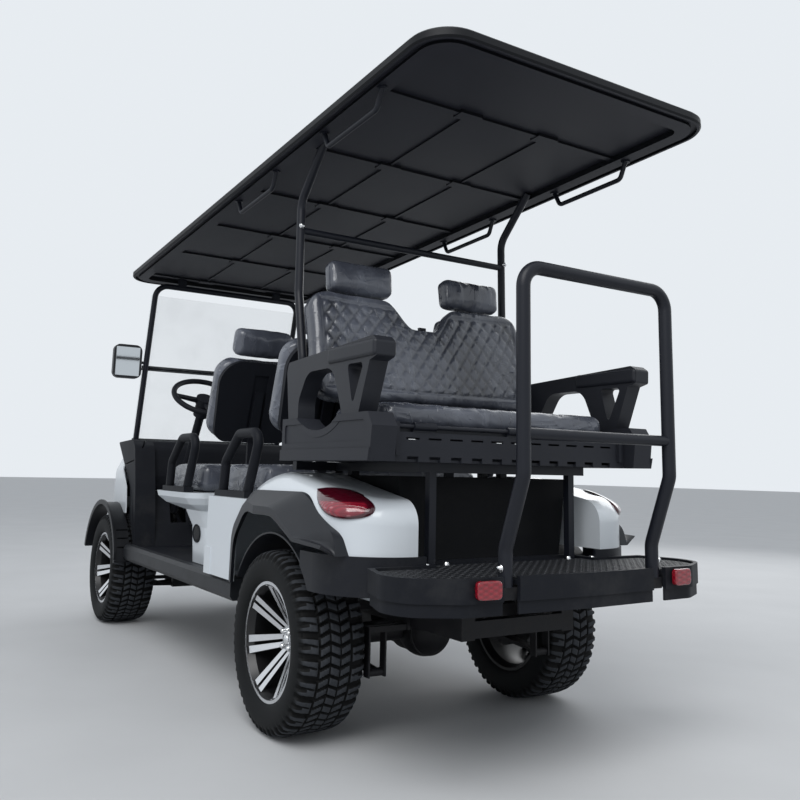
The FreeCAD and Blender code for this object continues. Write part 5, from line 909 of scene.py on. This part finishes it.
def seats():
    """Every padded seat piece in its place over its CAD solid."""
    up, ahead = leaning(BACK_LEAN)
    rear_up, rear_ahead = leaning(REAR_LEAN)
    head_up, head_ahead = leaning(REAR_HEAD_LEAN)
    flat = (RIGHTWARDS, FORWARDS, UPWARDS)
    leant = (LEFTWARDS, up, ahead)
    rows = []
    for row, x_cushion, x_back in (("second", -0.628, -0.647), ("first", 0.082, 0.063)):
        rows.append(("bench_pad_" + row, "bench", "bench_cushions", (x_cushion, 0, 0.8064), flat))
        for hand, y in (("left", 0.3), ("right", -0.3)):
            place = "_%s_%s" % (row, hand)
            foot = np.array((x_back, y, 0.965))
            top = foot + ahead * 0.034 + up * 0.3954
            rows.append(("back_pad" + place, "back", "forward_backrests", foot + ahead * 0.0429, leant))
            rows.append(("head_pad" + place, "head", "forward_headrests", top, leant))
    foot = np.array((-1.017, 0, 1.090))
    rows.append(("rear_bench_pad", "rear_bench", "rear_cushion", (-1.426, 0, 1.0222), flat))
    rows.append(("rear_back_pad", "rear_back", "rear_backrest", foot + rear_ahead * 0.046,
                 (RIGHTWARDS, rear_up, -rear_ahead)))
    for hand, y in (("left", 0.258), ("right", -0.258)):
        rows.append(("rear_head_pad_" + hand, "head", "rear_headrests", (-0.8661, y, 1.5000),
                     (RIGHTWARDS, head_up, -head_ahead)))
    forms = pad_forms()
    for name, form, node, origin, lie in rows:
        points, faces, marks = forms[form]
        pad = put(name, placed(points, origin, *lie), faces, M["seat"], BODY_OF[node], marks)
        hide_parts(node)


seats()


def outward(points, faces):
    """Turns the triangles round if the closed form they make has a negative volume."""
    a, b, c = (points[faces[:, k]] for k in range(3))
    volume = np.einsum("ij,ij->i", a, np.cross(b, c)).sum()
    return faces if volume > 0 else faces[:, ::-1]


# Lamp's outline along the panel and up, and how its rings shrink: the last of them is nearly a point
TAIL_OUTLINE = np.array([(-6, 793), (-6, 793), (44, 800), (120, 793), (205, 768), (238, 742), (225, 717),
                         (150, 706), (82, 718), (36, 754)]) / 1000
TAIL_SHARES = np.linspace(1, 0.04, 12)[1:]


def tail_lamps():
    """Domed lenses over the tail lamps: rings shrunk from the outline with its corners cut off, laid on the
    quadratic surface that fits the lamp below, then bulged. One side is worked out and mirrored."""
    start, along, out = np.array([(-1.213, 0.600, 0), (-0.883, -0.469, 0), (-0.469, 0.883, 0)])
    lamp = np.array([v.co for v in NODES["rear_lamps"].data.vertices])
    lamp = lamp[(lamp[:, 1] > 0.25) & (lamp[:, 2] > 0.66)]
    run, up, depth = (lamp - start) @ along, lamp[:, 2] - 0.75, (lamp - start) @ out

    def terms(s, z):
        return np.stack([1 + 0 * s, s, z, s * s, s * z, z * z, s**3, s * s * z], -1)

    fit = np.linalg.lstsq(terms(run, up), depth, rcond=None)[0]
    edge = TAIL_OUTLINE[::-1]
    for _ in range(3):
        after = np.roll(edge, -1, 0)
        edge = np.stack([0.75 * edge + 0.25 * after, 0.25 * edge + 0.75 * after], 1).reshape(-1, 2)
    centre = edge.mean(axis=0)
    share = np.concatenate([[1.0, 1.0], TAIL_SHARES])
    lift = np.concatenate([[-0.012, 0.004], 0.004 + 0.0065 * (1 - TAIL_SHARES**3)])
    flat = centre + share[:, None, None] * (edge - centre)
    depths = terms(flat[..., 0], flat[..., 1] - 0.75) @ fit + lift[:, None]
    rings = start + flat[..., :1] * along + depths[..., None] * out + flat[..., 1:] * (0, 0, 1)
    count, around = rings.shape[:2]
    points = np.vstack([rings[0].mean(axis=0), rings.reshape(-1, 3), rings[-1].mean(axis=0)])
    ring = np.arange(around)
    quads = ring_faces(count, around, False) + 1
    back = np.stack([0 * ring, 1 + np.roll(ring, -1), 1 + ring], -1)
    last = 1 + (count - 1) * around
    front = np.stack([0 * ring + len(points) - 1, last + ring, last + np.roll(ring, -1)], -1)
    faces = np.vstack([back, quads[:, [0, 1, 2]], quads[:, [0, 2, 3]], front])
    height = (points[:, 2] - points[:, 2].min()) / np.ptp(points[:, 2])
    marks = {"up": height, "out": np.concatenate([[1], np.repeat(share, around), [0]])}
    for hand, sign in (("left", 1), ("right", -1)):
        spots = points * (1, sign, 1)
        lens = put("tail_lens_" + hand, spots, outward(spots, faces), M["tail_lens"],
                   BODY_OF["rear_lamps"], marks)
        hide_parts("rear_lamps")


tail_lamps()


def reflectors():
    """Rounded red blocks on the step's rear face, each turned a little outwards with it."""
    points, faces = slab(0.0385, 0.048, 0.016, 0.007, 0.0025, 0.007)
    for hand, sign in (("left", 1), ("right", -1)):
        beside = np.array((-0.0777, -0.997 * sign, 0)) * sign
        out = np.array((-0.997, 0.0777 * sign, 0))
        spots = placed(points, (-1.8050, 0.3735 * sign, 0.527), beside, UPWARDS, out)
        piece = put("reflector_" + hand, spots, faces, M["lamp_red"], BODY_OF["rear_lamps"])


reflectors()


def speakers():
    """Oval grilles with a raised rim, low on the sides of the front seat pod."""
    rim = turned([(0, -0.004), (1, -0.004), (1, 0.0035), (0.96, 0.0055), (0.88, 0.0045), (0.85, 0.0015),
                  (0, 0.0015)], 48)
    grille = turned([(0, -0.003), (0.86, -0.003), (0.85, 0.0020), (0.6, 0.0034), (0.3, 0.0040),
                     (0, 0.0042)], 48)
    for hand, sign in (("left", 1), ("right", -1)):
        spot, normal = (np.array(v) for v in landing("front_seat_pod", (0.165, sign, 0.559), (0, -sign, 0)))
        upwards = np.array(UPWARDS) - normal * normal[2]
        upwards /= np.linalg.norm(upwards)
        beside = np.cross(upwards, normal)
        for label, (form, faces), material in (("rim", rim, "plastic_black"), ("grille", grille, "grille")):
            points = placed(form * (0.050, 0.041, 1), (0, 0, 0), beside, upwards, normal)
            put("speaker_%s_%s" % (label, hand), points + spot, outward(points, faces), M[material],
                BODY_OF["front_seat_pod"])


speakers()


def step_bars():
    """Raised bars of the step's chequered plate, leaning one way and the other in turn, where the plate
    carries both of their ends."""
    form, faces = turned([(0, -0.0008), (1, -0.0008), (0.82, 0.0010), (0.45, 0.0016), (0, 0.0017)], 10)
    form = form * (0.0098, 0.0034, 1)
    spacing, reach, bars = 0.014, 0.011, []
    for row, x in enumerate(np.arange(-1.782, -1.438, spacing)):
        lean = math.radians(45 if row % 2 else -45)
        arm = np.array((math.cos(lean), math.sin(lean), 0)) * reach
        for y in np.arange(-0.560 + spacing * (row % 2), 0.565, 2 * spacing):
            above = np.array((x, y, 0.7))
            ends = [landing("tread_plate", start, (0, 0, -1))[0] for start in (above + arm, above - arm)]
            if all(end is not None and end.z > PLATE_TOP - 0.001 for end in ends):
                bars.append((x, y, lean))
    bars = np.array(bars)
    cos, sin = np.cos(bars[:, 2:]), np.sin(bars[:, 2:])
    across = form[None, :, 0] * cos - form[None, :, 1] * sin + bars[:, :1]
    along = form[None, :, 0] * sin + form[None, :, 1] * cos + bars[:, 1:2]
    copies = np.stack([across, along, form[None, :, 2] + PLATE_TOP + 0 * across], -1)
    every = faces[None] + (np.arange(len(bars)) * len(form))[:, None, None]
    put("step_bars", copies, every.reshape(-1, 3), OWN_FINISH["tread_plate"], BODY_OF["tread_plate"])


step_bars()


def fasteners():
    """Bright bolts on the step, the rail and the roof's struts."""
    spots = []
    for sign in (1, -1):
        for x, y in ((-1.463, 0.338), (-1.440, 0.250)):
            spots.append(((x, sign * y, PLATE_TOP), (0, 0, 1)))
        for node, (x, y, z), (ahead, inwards) in (
            ("grab_bar", (-1.770, 0.60, 0.600), (0, -1)), ("rear_frame", (-2.0, 0.485, 1.752), (1, 0)),
        ):
            way = Vector((ahead, inwards * sign, 0))
            spot = landing(node, (x, y * sign, z), way)[0]
            if spot is not None:
                spots.append((tuple(spot), tuple(-way)))
    scattered("bright_bolts", bolt(0.0085, 0.011), spots, M["chrome"], BODY_OF["footboard"])


fasteners()


def lamp(name, place, energy, size):
    """A rectangular lamp that looks at the middle of the cart."""
    data = bpy.data.lights.new(name, "AREA")
    data.energy = energy
    data.shape = "RECTANGLE"
    data.size, data.size_y = size
    item = bpy.data.objects.new(name, data)
    item.location = place
    item.rotation_euler = (Vector((0, 0, 0.8)) - Vector(place)).to_track_quat("-Z", "Y").to_euler()
    bpy.context.scene.collection.objects.link(item)


def studio():
    """Even sky-like dome, one broad key lamp and a weak fill; the floor is pale and plain. The camera,
    glass and gloss see a brighter backdrop than the one that lights the cart."""
    world = bpy.data.worlds.new("studio")
    bpy.context.scene.world = world
    world.use_nodes = True
    sky = Nodes(world.node_tree)
    rays = sky.node("LightPath", {}, {}).socket.node.outputs
    kinds = ("Camera", "Transmission", "Glossy")
    camera, through, gloss = (Value(sky, rays["Is %s Ray" % kind]) for kind in kinds)
    dome = sky.node("Background", {}, {"Color": (0.86, 0.90, 0.95), "Strength": 0.62})
    backdrop = sky.node("Background", {}, {"Color": (0.80, 0.84, 0.88), "Strength": 1.0})
    both = sky.node("MixShader", {}, (camera.most(through).most(gloss), dome, backdrop))
    sky.fill(sky.tree.nodes["World Output"].inputs["Surface"], both)
    lamp("key", (-4.5, 4.0, 6.5), 380, (5, 5))
    lamp("fill", (2.5, -6.0, 4.0), 120, (6, 4))
    floor = bpy.data.meshes.new("floor")
    floor.from_pydata([(-60, -60, 0), (60, -60, 0), (60, 60, 0), (-60, 60, 0)], [], [(0, 1, 2, 3)])
    ground = bpy.data.objects.new("floor", floor)
    bpy.context.scene.collection.objects.link(ground)
    f = Finish("floor")
    pale = f.mix(f.noise(f.place(), 2.0, 5.0), (0.54, 0.55, 0.56), (0.62, 0.63, 0.64))
    floor.materials.append(f.set(colour=pale, rough=0.75))


studio()
bpy.context.scene.view_settings.view_transform = "Standard"
